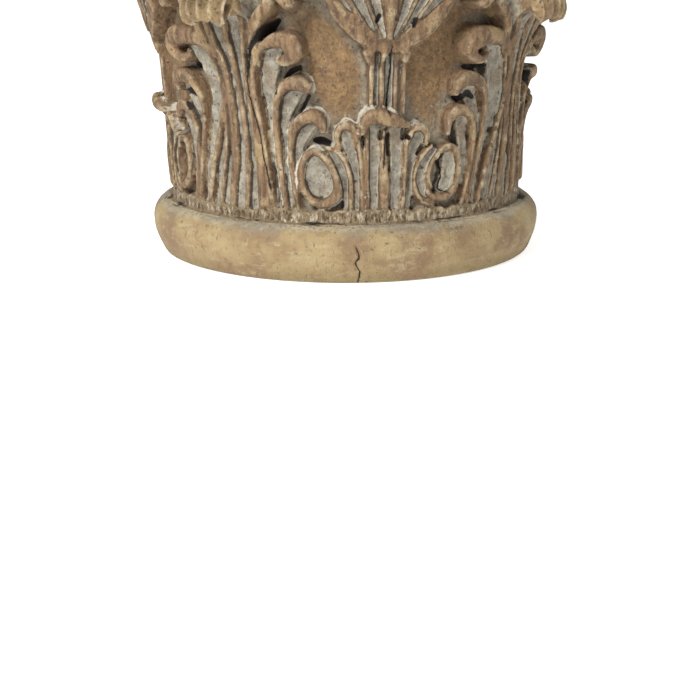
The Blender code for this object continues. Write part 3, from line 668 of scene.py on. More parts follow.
FACE_HOLES = (
    [(-21.4, 90.0, 1.8, 4.0), (-19.4, 89.6, 2.8, 5.0), (-17.2, 88.4, 1.8, 4.0)],
    [(5.2, 92.6, 1.4, 4.0), (5.8, 91.4, 1.4, 4.0)],
    [(-23.0, 117.5, 1.2, 2.5), (-24.6, 111.0, 1.1, 2.5), (-26.4, 104.5, 0.8, 1.5)],
    [(21.9, 116.0, 1.2, 2.5), (24.3, 110.6, 1.2, 2.5), (26.6, 105.0, 0.8, 1.5)],
    [(-4.0, 166.0, 1.4, 4.0), (-4.6, 162.5, 1.2, 4.0)],
    [(5.6, 163.5, 1.6, 4.5), (5.2, 160.0, 1.4, 4.0)],
    [(29.6, 135.0, 1.2, 2.5), (31.6, 127.0, 1.2, 2.5), (34.0, 121.0, 0.9, 1.5)],
    [(-39.2, 141.0, 1.0, 3.0), (-37.4, 148.0, 1.6, 4.0), (-35.2, 154.0, 2.2, 5.0),
     (-32.8, 160.0, 2.2, 5.0), (-31.4, 163.0, 1.2, 3.0)],
    [(22.6, 114.5, 1.6, 1.5), (25.4, 117.0, 2.6, 2.0), (28.0, 114.0, 1.6, 1.5)],
    [(25.4, 134.0, 1.6, 1.5), (28.8, 132.4, 2.2, 2.0), (31.8, 134.0, 1.6, 1.5)],
    [(-31.4, 117.0, 0.9, 2.0), (-30.8, 124.0, 1.3, 3.0), (-28.6, 131.0, 1.9, 3.5),
     (-25.4, 134.4, 1.7, 2.5)],
)
# each hole paints shade into an undercut or deep hollow
for facing in FACES:
    for path in FACE_CRACKS:
        crack(path, facing)
    for path in FACE_HOLES:
        hole(path, facing)
print(len(FACE_CRACKS), "cracks and", len(FACE_HOLES), "holes on each face")

# %% Wear on the round base, which differs from side to side
BASE_CRACKS = (
    [(-9.4, 24.0, 0.6, 2.0), (-8.6, 19.0, 0.8, 2.5), (-9.6, 13.5, 0.8, 2.5), (-8.4, 8.0, 0.7, 2.0),
     (-8.8, 1.5, 0.6, 1.5)],
    [(101.0, 21.0, 0.6, 1.5), (102.4, 12.0, 0.7, 2.0), (101.4, 4.0, 0.5, 1.0)],
    [(204.0, 18.0, 0.6, 1.5), (202.6, 9.0, 0.7, 2.0), (203.4, 2.0, 0.5, 1.0)],
)
BASE_CHIPS = (
    [(16.6, 33.4, 1.6, 1.2), (19.4, 32.6, 2.6, 1.8), (22.6, 33.6, 2.0, 1.4)],
    [(24.4, 29.6, 1.3, 1.2), (25.6, 28.6, 1.2, 1.0)],
    [(-2.4, 6.0, 1.2, 1.2), (-1.0, 5.2, 1.2, 1.2)],
    [(-40.2, 9.0, 1.6, 1.2), (-38.6, 8.2, 1.4, 1.0)],
    [(118.0, 31.0, 2.0, 1.5), (120.4, 30.0, 1.8, 1.2)],
    [(231.0, 12.0, 1.8, 1.4), (233.0, 10.6, 1.4, 1.0)],
    [(305.0, 32.0, 2.2, 1.5), (307.6, 31.0, 1.8, 1.2)],
)
for path in BASE_CRACKS:
    crack(path, 0.0)
# the chips get a little painted shade
for path in BASE_CHIPS:
    hole(path, 0.0, soot_and_shade=0.32)
joint = np.clip(1.0 - np.abs(heights[:, None] - BASE_TOP - 0.4) / 1.6, 0.0, 1.0)
patchy = np.clip(0.55 + 0.9 * round_bell(9.0, 16), 0.0, 1.0)
board["soot_and_shade"] = np.maximum(board["soot_and_shade"], 0.85 * joint * patchy)
print(len(BASE_CRACKS), "cracks and", len(BASE_CHIPS), "chips in the base")

# %% [markdown]
# ## The turned body
#
# Base and bell are one turned profile. A Screw modifier or a spin would turn it too, but
# here it has a vertex for each cell of the drawing board, and a flat grid that is rolled
# round the axis is made many times faster. Each vertex stands out by the relief drawn
# there, and the seam and the two poles are merged.

# %% Roll a grid round the axis, with the relief on it
BASE_INSETS = ((9.0, 0.0), (6.6, 1.0), (5.2, 3.0), (3.6, 7.2), (1.8, 12.0), (0.4, 17.0),
               (-0.2, 22.0), (0.2, 26.4), (1.8, 30.6), (4.6, 34.2), (8.4, 36.5),
               (13.0, BASE_TOP))
BASE_PROFILE = [(BASE_RADIUS - inset, z) for inset, z in BASE_INSETS]
base_out, base_z = smooth_path(BASE_PROFILE, 3).T


def plain_radius(z):
    """Radius of the uncarved form at a height: the round base, and then the bell."""
    return np.where(z < BASE_TOP, np.interp(z, base_z, base_out), bell_radius(z))


def sample(name, angle, z):
    """A board value at angles and heights, between the four cells around each."""
    column = np.mod(angle, 360.0) / 360.0 * COLUMNS
    row = np.clip(z / ROW, 0.0, ROWS - 1.001)
    c, r = np.floor(column).astype(int), np.floor(row).astype(int)
    u, v = column - c, row - r
    here = board[name]
    low = here[r, c % COLUMNS] * (1 - u) + here[r, (c + 1) % COLUMNS] * u
    high = here[r + 1, c % COLUMNS] * (1 - u) + here[r + 1, (c + 1) % COLUMNS] * u
    return low * (1 - v) + high * v


def places(mesh):
    """The vertices of a mesh as rows of (x, y, z) in millimetres."""
    flat = np.empty(3 * len(mesh.vertices), np.float32)
    mesh.vertices.foreach_get("co", flat)
    return flat.reshape(-1, 3).astype(float) / MM


def put_places(mesh, where):
    """Move the vertices of a mesh to rows of (x, y, z) in millimetres."""
    mesh.vertices.foreach_set("co", (where * MM).astype(np.float32).ravel())
    mesh.update()


def finished(form, name):
    """Turn a bmesh into a mesh whose faces point outwards."""
    bmesh.ops.recalc_face_normals(form, faces=form.faces)
    mesh = bpy.data.meshes.new(name)
    form.to_mesh(mesh)
    form.free()
    return mesh


BELL_END = (BELL_LIP - 6.0, BELL_TOP + 8.0)


def turned_body():
    """The base and the carved bell as one closed form, which ends inside the top."""
    profile = [(0.0, 0.0)] + list(zip(plain_radius(heights), heights))
    profile += [BELL_END, (0.0, BELL_END[1])]
    out_at, z_at = np.array(profile).T
    form = bmesh.new()
    bmesh.ops.create_grid(form, x_segments=COLUMNS, y_segments=len(profile) - 1, size=0.5)
    mesh = bpy.data.meshes.new("turned_body")
    form.to_mesh(mesh)
    across, along = (places(mesh)[:, :2] * MM + 0.5).T
    step = np.rint(along * (len(profile) - 1)).astype(int)
    angle = 360.0 * across
    out, z = out_at[step], z_at[step]
    carved = (z < 0.5 * (BELL_TOP + BELL_END[1])) & (out > 0.5 * BELL_FOOT)
    out = out + np.where(carved, sample("relief", angle, z), 0.0)
    turn = np.radians(angle)
    put_places(mesh, np.stack([out * np.sin(turn), -out * np.cos(turn), z], axis=1))
    form.clear()
    form.from_mesh(mesh)
    bmesh.ops.remove_doubles(form, verts=form.verts, dist=0.001 * MM)
    bpy.data.meshes.remove(mesh)
    return finished(form, "turned_body")


body_mesh = turned_body()
print("turned body of", len(body_mesh.vertices), "vertices")

# %% [markdown]
# ## Leaf tips
#
# At the corners the leaves leave the bell and curl over. That overhangs, so it can't be
# drawn on the board. Each tip is a flat grid, bent along a path up and over, ribbed
# across, and given its thickness with solidify.


# %% Bend a grid into a curled leaf tip
def bent_grid(across, along, thick, place):
    """A grid bent by place(u, t), u from -1 to 1 and t from 0 to 1, then thickened."""
    form = bmesh.new()
    bmesh.ops.create_grid(form, x_segments=across, y_segments=along, size=1.0)
    for vert in form.verts:
        vert.co = Vector(place(vert.co.x, 0.5 * (vert.co.y + 1.0))) * MM
    bmesh.ops.recalc_face_normals(form, faces=form.faces)
    bmesh.ops.solidify(form, geom=form.faces, thickness=thick * MM)
    return finished(form, "bent_grid")


def round_axis(angle, out, across, z):
    """A point at a distance out on the ray at an angle, moved sideways by across."""
    turn = math.radians(angle)
    return (out * math.sin(turn) + across * math.cos(turn),
            -out * math.cos(turn) + across * math.sin(turn), z)


TIP_LINE = smooth_path([(122.0, 156.0), (129.0, 162.5), (137.0, 169.0), (145.5, 175.0),
                        (153.5, 178.4), (159.8, 175.6), (161.6, 169.4), (159.4, 163.4),
                        (154.0, 161.0)], 6)
TIP_THICKNESS = 7.5
TIP_HALF_WIDTH = ((0.0, 14.0), (0.2, 16.0), (0.45, 17.6), (0.7, 17.6), (0.88, 16.0),
                  (1.0, 12.5))


def leaf_tip(corner):
    """One leaf tip: ribbed, arched across, with a scalloped and lumpy end."""
    line = TIP_LINE
    shares = np.linspace(0.0, 1.0, len(line))
    wide_at, wide = zip(*TIP_HALF_WIDTH)

    def place(u, t):
        t = t * (1.0 - 0.10 * abs(math.sin(1.5 * math.pi * u)) * t**4)
        out = float(np.interp(t, shares, line[:, 0]))
        z = float(np.interp(t, shares, line[:, 1]))
        half = float(np.interp(t, wide_at, wide))
        rib = 1.5 * math.cos(4.0 * math.pi * (u + 0.05)) * min(1.0, 3.0 * t)
        out -= 5.0 * u * u * (1.0 - 0.5 * t) - rib
        return round_axis(corner, out, u * half, z - 3.5 * u * u * t + 0.6 * rib)

    return bent_grid(48, 60, -TIP_THICKNESS, place)


tip_meshes = [leaf_tip(corner) for corner in CORNERS]
print("four leaf tips of", len(tip_meshes[0].vertices), "vertices")

# %% [markdown]
# ## Volutes, stalks, flowers and the square top
#
# These carry the top. A volute is a ribbon wound into a spiral round a drum; a stalk is
# a tapering tube, swept along a path; a flower is six petals round a knob; and the top is
# one outline, stepped in and out to give its moulding.

# %% Corner volutes
VOLUTE_RADIUS = 26.0
VOLUTE_WIDTH = 28.0
VOLUTE_START = 105.0
VOLUTE_TURN = 620.0
RIBBON = 7.0
DRUM_RADIUS = 0.93 * VOLUTE_RADIUS
DRUM_WIDTH = 0.70 * VOLUTE_WIDTH
VOLUTE_MIDDLE = BELL_TOP - VOLUTE_RADIUS - 0.25 * RIBBON
CORNER_REACH = TOP_WIDTH / math.sqrt(2.0) - 0.5 * ABACUS_CORNER_WIDTH
VOLUTE_REACH = CORNER_REACH - VOLUTE_RADIUS - 0.5 * RIBBON
VOLUTE_SPRING = (float(bell_radius(VOLUTE_MIDDLE)) - 4.0, VOLUTE_MIDDLE - 0.5 * VOLUTE_RADIUS)
VOLUTE_CREST = (0.5 * (VOLUTE_SPRING[0] + VOLUTE_REACH), VOLUTE_MIDDLE + 0.55 * VOLUTE_RADIUS)


def volute_line():
    """The ribbon's line in the corner's upright plane: out of the bell and wound in."""
    wound = spiral(VOLUTE_RADIUS - 0.5 * RIBBON, VOLUTE_START, VOLUTE_TURN, 40)
    points = [VOLUTE_SPRING, VOLUTE_CREST]
    points += [(VOLUTE_REACH + across, VOLUTE_MIDDLE + up) for across, up, _ in wound]
    return smooth_path(points, 3)


def volute(corner):
    """One volute: a ribbon with raised edges, round a drum that fills its turns."""
    line = volute_line()
    shares = np.linspace(0.0, 1.0, len(line))

    def place(u, t):
        out = float(np.interp(t, shares, line[:, 0]))
        z = float(np.interp(t, shares, line[:, 1]))
        across = 0.5 * VOLUTE_WIDTH * u * (1.0 - 0.06 * t)
        lip = 1.2 * abs(u) ** 3
        slope = math.atan2(z - VOLUTE_MIDDLE, out - VOLUTE_REACH)
        return round_axis(corner, out + lip * math.cos(slope), across, z + lip * math.sin(slope))

    ribbon = bent_grid(12, 130, RIBBON, place)
    drum = bmesh.new()
    spin_axis = Matrix.Rotation(math.radians(corner), 4, "Z") @ Matrix.Rotation(
        math.radians(90.0), 4, "Y")
    centre = Vector(round_axis(corner, VOLUTE_REACH, 0.0, VOLUTE_MIDDLE)) * MM
    bmesh.ops.create_cone(drum, cap_ends=True, segments=48, radius1=DRUM_RADIUS * MM,
                          radius2=DRUM_RADIUS * MM, depth=DRUM_WIDTH * MM,
                          matrix=Matrix.Translation(centre) @ spin_axis)
    return [ribbon, finished(drum, "drum")]


volute_meshes = [mesh for corner in CORNERS for mesh in volute(corner)]
print("four volutes of radius", VOLUTE_RADIUS, "mm")


# %% Stalks from the calyx to the volutes
def swept_tube(line, flat=0.75):
    """Rings of vertices along a line of (x, y, z, radius), bridged and closed."""
    form = bmesh.new()
    spots = [Vector(point[:3]) * MM for point in line]
    rings = []
    for n, spot in enumerate(spots):
        along = spots[min(n + 1, len(spots) - 1)] - spots[max(n - 1, 0)]
        aim = Vector((0.0, 0.0, 1.0)).rotation_difference(along).to_matrix().to_4x4()
        ring = bmesh.ops.create_circle(
            form, cap_ends=False, segments=20, radius=line[n][3] * MM,
            matrix=Matrix.Translation(spot) @ aim @ Matrix.Diagonal((1.0, flat, 1.0, 1.0)))
        rings.append(ring["verts"])
    loops = [list({edge for vert in ring for edge in vert.link_edges}) for ring in rings]
    for low, high in zip(loops, loops[1:]):
        bmesh.ops.bridge_loops(form, edges=low + high)
    for end in (loops[0], loops[-1]):
        bmesh.ops.holes_fill(form, edges=end)
    return finished(form, "stalk")


def stalk(facing, side):
    """One stalk, which leaves the calyx and ends inside a volute's ribbon."""
    crest_out, crest_height = VOLUTE_CREST
    inside = 0.45 * VOLUTE_WIDTH
    end_angle = 45.0 - math.degrees(math.atan2(inside, crest_out))
    spots = [(12.0, 184.0, 6.0, 5.0), (21.0, 206.0, 10.0, 6.0), (30.0, 236.0, 15.5, 6.2),
             (end_angle, crest_height, math.hypot(inside, crest_out)
              - float(bell_radius(crest_height)), 5.4)]
    line = []
    for angle, z, lift, radius in smooth_path(spots, 6):
        out = float(bell_radius(z)) + lift
        line.append((*round_axis(facing + side * angle, out, 0.0, z), radius))
    return swept_tube(line)


stalk_meshes = [stalk(facing, side) for facing in FACES for side in (-1, 1)]
print(len(stalk_meshes), "stalks")

# %% Flowers on the top's sides
FLOWER_RADIUS = 19.0
PETALS = 6


def flower(facing):
    """Petals round a knob: flattened balls, in shares of the radius, joined later."""
    out = 0.5 * TOP_WIDTH - ABACUS_HOLLOW
    z = HEIGHT - 0.5 * ABACUS_THICKNESS
    balls = [(0.0, 0.0, 0.36, 0.5)]
    for petal in range(PETALS):
        around = 2.0 * math.pi * petal / PETALS
        balls.append((0.62 * math.sin(around), 0.62 * math.cos(around), 0.38, 0.3))
    form = bmesh.new()
    for across, upward, size, depth in balls:
        place = Matrix.Translation((across, 0.0, upward)) @ Matrix.Diagonal(
            (size, depth, size, 1.0))
        bmesh.ops.create_uvsphere(form, u_segments=24, v_segments=14, radius=1.0, matrix=place)
    bmesh.ops.scale(form, verts=form.verts, vec=(FLOWER_RADIUS * MM,) * 3)
    bmesh.ops.translate(form, verts=form.verts, vec=(0.0, -out * MM, z * MM))
    bmesh.ops.rotate(form, verts=form.verts, cent=(0, 0, 0),
                     matrix=Matrix.Rotation(math.radians(facing), 3, "Z"))
    return finished(form, "flower")


flower_meshes = [flower(facing) for facing in FACES]
print("four flowers of radius", FLOWER_RADIUS, "mm")

# %% The square top with its hollowed sides
MOULDING = ((0.30, -0.02), (0.28, 0.10), (0.24, 0.22), (0.19, 0.33), (0.10, 0.43), (0.06, 0.47),
            (0.06, 0.54), (0.015, 0.57), (0.0, 0.61), (0.0, 0.94), (0.015, 0.985), (0.04, 1.0))


def top_outline(form, inset, z):
    """One loop of vertices: four hollowed sides and four cut corners."""
    half = 0.5 * TOP_WIDTH
    reach = half - ABACUS_CORNER_WIDTH / math.sqrt(2.0)
    verts = []
    for facing in FACES:
        for n in range(33):
            share = n / 16 - 1.0
            out = half - ABACUS_HOLLOW * (1.0 - share**2) - inset
            spot = round_axis(facing, out, share * (reach - 0.35 * inset), z)
            verts.append(form.verts.new(Vector(spot) * MM))
    return [form.edges.new(pair) for pair in zip(verts, verts[1:] + verts[:1])]


def square_top():
    """The abacus: the outline at each step of its moulding, bridged and closed."""
    form = bmesh.new()
    loops = [top_outline(form, inset * ABACUS_THICKNESS, BELL_TOP + up * ABACUS_THICKNESS)
             for inset, up in MOULDING]
    for low, high in zip(loops, loops[1:]):
        bmesh.ops.bridge_loops(form, edges=low + high)
    for end in (loops[0], loops[-1]):
        bmesh.ops.holes_fill(form, edges=end)
    return finished(form, "square_top")


top_mesh = square_top()
print("square top of", len(top_mesh.vertices), "vertices")

# %% [markdown]
# ## One casting
#
# The real thing is one piece, so the forms must not just pass through each other. A voxel
# remesh takes everything that lies inside any of them as solid and lays one new skin
# round it. A Boolean union would keep sharper edges, but a cast from worn wood has none.

# %% Join the forms and lay one skin over them
SKIN = 1.05


def evaluated(thing):
    """The mesh that an object has once its modifiers have run."""
    graph = bpy.context.evaluated_depsgraph_get()
    return bpy.data.meshes.new_from_object(thing.evaluated_get(graph))


def placed(name, data):
    """An object in the scene for a mesh, a lamp or a camera."""
    thing = bpy.data.objects.new(name, data)
    bpy.context.scene.collection.objects.link(thing)
    return thing


def one_skin(meshes):
    """Fuse closed forms that overlap into a single closed mesh, its edges eased."""
    form = bmesh.new()
    for mesh in meshes:
        form.from_mesh(mesh)
        bpy.data.meshes.remove(mesh)
    joined = placed("joined_forms", finished(form, "joined_forms"))
    remesh = joined.modifiers.new("one skin", "REMESH")
    remesh.mode = "VOXEL"
    remesh.voxel_size = SKIN * MM
    eased = joined.modifiers.new("eased edges", "SMOOTH")
    eased.factor = 0.5
    eased.iterations = 1
    skin = evaluated(joined)
    bpy.data.objects.remove(joined)
    return skin


skin_mesh = one_skin([body_mesh, top_mesh] + tip_meshes + volute_meshes + stalk_meshes
                     + flower_meshes)
print("skin of", len(skin_mesh.polygons), "faces")


# %% Wear the skin: dents and pits
def normals_of(mesh):
    """The vertex normals of a mesh, one row each."""
    flat = np.empty(3 * len(mesh.vertices), np.float32)
    mesh.vertex_normals.foreach_get("vector", flat)
    return flat.reshape(-1, 3).astype(float)


DENTS = ((0.30, 12.0, 21), (0.12, 5.0, 22))
PIT_DEPTH = 2.6
PIT_SIZE = 3.4
PITTED_PATCH = 26.0
CALM_ABOVE = LEAF_TOP + 12.0


def weather(mesh):
    """Push the surface in and out a little, as a cast of old, dry wood has it.

    Each row of DENTS has a depth and a size in millimetres, and the seed of its lumps.
    """
    where = places(mesh)
    normal = normals_of(mesh)
    z = where[:, 2]
    push = sum(depth * lumps(where, size, seed) for depth, size, seed in DENTS)
    push *= np.where(z > CALM_ABOVE, 0.6, 1.0)
    patches = np.clip(0.4 + 2.0 * lumps(where, PITTED_PATCH, 25), 0.0, 1.0)
    push -= PIT_DEPTH * np.clip(lumps(where, PIT_SIZE, 24) - 0.55, 0.0, 1.0) * patches
    inside = np.clip((z - 0.5) / 2.0, 0.0, 1.0) * np.clip((HEIGHT - 0.4 - z) / 1.5, 0.0, 1.0)
    where += normal * (push * inside)[:, None]
    half = 0.5 * TOP_WIDTH
    where[:, :2] = np.clip(where[:, :2], -half, half)
    where[:, 2] = np.clip(z + (where[:, 2] - z) * inside, 0.0, HEIGHT)
    put_places(mesh, where)


weather(skin_mesh)
print("skin weathered")

# %% [markdown]
# ## What the finish needs to know about each spot
#
# Stain wipes off edges and gathers in corners, and whitewash stays where no cloth
# reaches; on top of these the finish paints highlights on crests and shade in creases and
# corners. So the mesh carries a few numbers per vertex: how far the spot stands out of or
# sinks below its surroundings, near and far, and what the drawing board says of stain,
# whitewash, painted shade and highlight lines, cracks and plain ground. The material
# reads them as attributes.


# %% Measure crests and hollows, and bring the drawn marks over
BOARD_MARKS = ("tone", "soot_and_shade", "cover", "fringe", "haze", "side", "lit_edge_line")
SPLIT_REACH = 3.0
NEAR_ROUNDS = 5
FAR_ROUNDS = 25
OFF_BOARD = 2.5


def settled(where, ends, rounds):
    """The vertices after that many rounds of moving to the middle of their neighbours."""
    count = np.bincount(ends.ravel(), minlength=len(where))[:, None]
    eased = where.copy()
    for _ in range(rounds):
        total = np.zeros_like(eased)
        for axis in range(3):
            total[:, axis] = (
                np.bincount(ends[:, 0], eased[ends[:, 1], axis], minlength=len(where))
                + np.bincount(ends[:, 1], eased[ends[:, 0], axis], minlength=len(where)))
        eased = 0.4 * eased + 0.6 * total / np.maximum(count, 1)
    return eased


def mark(mesh, name, values):
    """Store one number per vertex under a name that the material can read."""
    layer = mesh.attributes.new(name, "FLOAT", "POINT")
    layer.data.foreach_set("value", values.astype(np.float32))


def describe_surface(mesh):
    """Write the numbers that the finish reads.

    What stands further off the drawn relief than OFF_BOARD is a tip, a stalk or a
    volute, so the board says nothing about it.
    """
    where, normal = places(mesh), normals_of(mesh)
    ends = np.empty(2 * len(mesh.edges), np.int32)
    mesh.edges.foreach_get("vertices", ends)
    ends = ends.reshape(-1, 2)
    close = settled(where, ends, NEAR_ROUNDS)
    near = np.einsum("ij,ij->i", where - close, normal)
    far = np.einsum("ij,ij->i", where - settled(close, ends, FAR_ROUNDS), normal)
    x, y, z = where.T
    angle = np.degrees(np.arctan2(x, -y))
    lift = np.hypot(x, y) - plain_radius(z)
    over = np.clip((lift - sample("relief", angle, z) - OFF_BOARD) / 2.0, 0.0, 1.0)
    on_board = np.where(z < BELL_TOP - 2.0, 1.0 - over, 0.0)
    mark(mesh, "near", near)
    mark(mesh, "far", far)
    mark(mesh, "bell", on_board * np.clip(z - BASE_TOP + 0.5, 0.0, 1.0))
    for name in BOARD_MARKS:
        mark(mesh, name, on_board * sample(name, angle, z))
    split = np.where(on_board > 0.5, sample("split", angle, z), NO_SPLIT)
    mark(mesh, "split", split)
    mark(mesh, "by_split", np.clip(SPLIT_REACH - np.abs(split), 0.0, 1.0))
    return near, far


near, far = describe_surface(skin_mesh)
print("near crests and hollows, mm:", np.percentile(near, (5, 50, 95)).round(2))
print("far crests and hollows, mm:", np.percentile(far, (5, 50, 95)).round(2))

# %% [markdown]
# ## Fewer triangles, and still one piece
#
# The skin has 1.6 million triangles, and most of them lie where it is almost flat. One
# object should stay under 200,000, because above that its exported file is thinned
# blindly. It is thinned to under 200,000, and the real thing is one casting, so it stays
# one object. Decimate gives up the flattest spots first, and what is finer than the
# triangles that are left is drawn by the material.

# %% Thin the skin out where it is smooth
TRIANGLES = 196000


def thinned(mesh, triangles):
    """Collapse edges, the flattest first, until so many triangles are left."""
    thick = placed("thick_skin", mesh)
    fewer = thick.modifiers.new("fewer faces", "DECIMATE")
    mesh.calc_loop_triangles()
    fewer.ratio = min(1.0, triangles / len(mesh.loop_triangles))
    light = evaluated(thick)
    bpy.data.objects.remove(thick)
    bpy.data.meshes.remove(mesh)
    return light


casting = placed("pedestal_casting", thinned(skin_mesh, TRIANGLES))
casting.data.name = "pedestal_casting"
casting.data.shade_smooth()
print("casting of", len(casting.data.polygons), "faces, or", TRIANGLES, "triangles")

# %% [markdown]
# ## Whitewashed and stained cast stone
#
# The finish is one material, because the real thing was painted all over by the same
# hand. It is built the way the painter worked: coat over coat, each one lying only where
# a field of the surface says so. Every colour was chosen one by one. Noise breaks up each
# border at the scale of the real marks: blotches of 34 mm, washes of 17 mm, brush marks
# of 6 mm, specks of 2.4 mm, and streaks along the grain of the wood that the casting was
# taken from. The sand in the stone is finer than the render can show, so it is drawn as
# grains of 1.7 mm.


# %% Colours, and one function that adds a node
def colour(code):
    """An sRGB hex colour as the linear RGBA that a shader works in."""
    parts = [int(code[n:n + 2], 16) / 255.0 for n in (1, 3, 5)]
    return tuple(p / 12.92 if p <= 0.04045 else ((p + 0.055) / 1.055) ** 2.4
                 for p in parts) + (1.0,)


def add_node(tree, kind, inputs=None, output=0, **settings):
    """Add a node, give it its settings, fill its sockets, and return one output."""
    made = tree.nodes.new(kind)
    for name, value in settings.items():
        setattr(made, name, value)
    for socket, value in (inputs or {}).items():
        if isinstance(value, bpy.types.NodeSocket):
            tree.links.new(value, made.inputs[socket])
        else:
            made.inputs[socket].default_value = value
    return made.outputs[output]


print("white lime", [round(v, 3) for v in colour("#C9C4B4")[:3]])

# %% Noises: size in millimetres, detail, roughness, and a factor on height
NOISES = {
    "blotch": (34.0, 3.0, 0.55, 1.0),
    "wash": (17.0, 4.0, 0.60, 0.6),
    "smear": (15.0, 6.0, 0.70, 2.6),
    "brush": (6.0, 4.0, 0.60, 1.0),
    "speck": (2.4, 4.0, 0.70, 1.0),
    "grain": (1.7, 2.0, 0.60, 1.0),
    "pit": (3.6, 2.0, 0.50, 1.0),
    "streak": (2.6, 3.0, 0.60, 0.16),
    "chisel": (2.2, 3.0, 0.65, 0.30),
}  # a small factor draws the marks out upwards, a large one sideways
print(len(NOISES), "noises, of", min(size for size, *_ in NOISES.values()), "mm and up")

# %% Fields: what each starts from, the noise that breaks it up, and by how much
MARKS = BOARD_MARKS + ("near", "far", "bell", "split", "by_split")
FIELDS = {
    "patches": ("blotch", "brush", 0.3),
    "low_down": ("height", "blotch", 30.0),
    "base_edge": ("height_on_base", "brush", 12.0),
    "base_smears": ("on_base", "smear", 1.0),
    "high_wash": ("between", "wash", 1.0),
    "on_bell": ("bell", "speck", 0.3),
    "bell_specks": ("bell", "speck", 1.3),
    "bell_flecks": ("bell", "speck", -0.7),
    "ochre_wash": ("on_bell", "wash", 1.0),
    "by_carving": ("haze", "blotch", 0.8),
    "carved": ("cover", "brush", 0.3),
    "ridges": ("tone", "brush", 0.5),
    "ridge_wash": ("tone", "wash", 3.0),
    "chiselled": ("fringe", "chisel", 3.2),
    "chisel_lights": ("fringe", "chisel", -3.2),
    # edges: painted highlight on crests, with stain wiped off them
    "edges": ("near", "brush", 0.5),
    # creases: painted shade in narrow creases
    "shaded_creases": ("near", "brush", 0.4),
    # hollows: painted shade in recesses, partly stain
    "hollows": ("far", "brush", 2.0),
    # white lines of painted highlight along the lit edges of the ribs
    "turned": ("side", "brush", 2.2),
    # turned: which way a rib's foot faces, for its painted highlight and painted shade
    "lit_edge_lines": ("lit_edge_line", "brush", 1.5),
    "dark_grain": ("smoother", "grain", 1.0),
    "dark_pits": ("smoother", "pit", 1.0),
    # painted shade in undercuts and holes, and the dark joint at the top of the base
    "sooty_and_shaded": ("soot_and_shade", "speck", 0.45),
    "torn": ("split", "speck", 2.2),
}
print(len(FIELDS), "fields on", len(MARKS), "marks of the mesh")

# %% Coats, the first one lowest: field, where it starts, where it is full, its share, its
# two colours, and the noise that mottles them
# Some coats paint light: highlights on crests, lit rib edges and left-facing rib feet, and shade
# in creases, recesses, undercuts and right-facing rib feet.
PLAIN_STONE = ("#96835F", "#836F4F")
COATS = (
    ("patches", 0.46, 0.64, 0.65, "#7E644A", "#735B45", "brush"),
    ("base_smears", 1.02, 1.14, 0.55, "#A49778", "#958866", "brush"),
    ("base_smears", 0.94, 0.84, 0.40, "#79603F", "#6B553A", "brush"),
    ("speck", 0.58, 0.72, 0.40, "#735C3C", "#625033", "brush"),
    ("low_down", 12.0, 2.0, 0.45, "#6E5F3B", "#5F5031", "brush"),
    ("base_edge", 33.5, 36.5, 0.75, "#B0A995", "#9C927A", "brush"),
    ("high_wash", 0.97, 1.08, 0.70, "#5E4B37", "#735D43", "brush"),
    # painted shade in the recesses, with some stain
    ("hollows", -0.2, -1.8, 0.85, "#544029", "#6A5236", "brush"),
    ("on_bell", 0.40, 0.60, 1.00, "#695239", "#826745", "brush"),
    ("bell_specks", 1.00, 1.10, 0.60, "#4B3B29", "#5C4932", "brush"),
    ("by_carving", 0.18, 0.55, 0.80, "#706B5E", "#878172", "brush"),
    ("carved", 0.35, 0.65, 1.00, "#3F3326", "#51432F", "brush"),
    ("ridges", 0.16, 0.42, 1.00, "#55412F", "#785F44", "streak"),
    ("ridge_wash", 1.02, 1.36, 0.70, "#947F5C", "#A7936F", "brush"),
    ("ridges", -0.12, -0.45, 1.00, "#716B5F", "#918B7C", "brush"),
    ("ochre_wash", 1.04, 1.14, 0.40, "#775D3E", "#6B5338", "brush"),
    ("chiselled", 0.30, 0.60, 1.00, "#807058", "#6B5A42", "brush"),
    ("chiselled", 1.10, 1.40, 0.85, "#3A2E21", "#4A3C2A", "brush"),
    ("chisel_lights", 1.10, 1.40, 0.80, "#ADA592", "#9B917C", "brush"),
    # painted highlight on the crests, and stain wiped off them
    ("edges", 0.10, 0.50, 0.68, "#A08D6E", "#B9AB8D", "brush"),
    # deeper painted shade where the recesses sink furthest
    ("hollows", -0.7, -2.8, 0.65, "#3C3127", "#4B3E2E", "brush"),
    # painted shade in the creases at the feet of the ribs
    ("shaded_creases", -0.12, -0.60, 0.85, "#2C241B", "#3A2F24", "brush"),
    # painted highlight on the left-facing feet of the ribs, and painted shade on the right-facing
    # ones
    ("lit_foot", 0.32, 0.62, 0.60, "#B3AC9B", "#9F9885", "brush"),
    ("shaded_foot", 0.18, 0.45, 0.85, "#261E17", "#362B1F", "brush"),
    # painted highlight: a thin white line beside each lit rib edge
    ("lit_edge_lines", 0.34, 0.62, 0.85, "#CAC4B5", "#B1AA99", "brush"),
    ("bell_flecks", 1.07, 1.15, 0.50, "#A69C89", "#968B76", "brush"),
    ("dark_grain", 0.07, 0.16, 0.45, "#46392B", "#3A2F23", "brush"),
    ("dark_pits", 0.17, 0.21, 0.70, "#413426", "#534431", "brush"),
    # near-black painted shade in undercuts and holes, and the dark joint at the top of the base
    ("sooty_and_shaded", 0.22, 0.52, 1.00, "#191411", "#211B15", "speck"),
    ("crack_line", 0.0, 0.40, 1.00, "#15110E", "#1D1814", "speck"),
)
print(len(COATS), "coats of paint, stain, whitewash and soot")

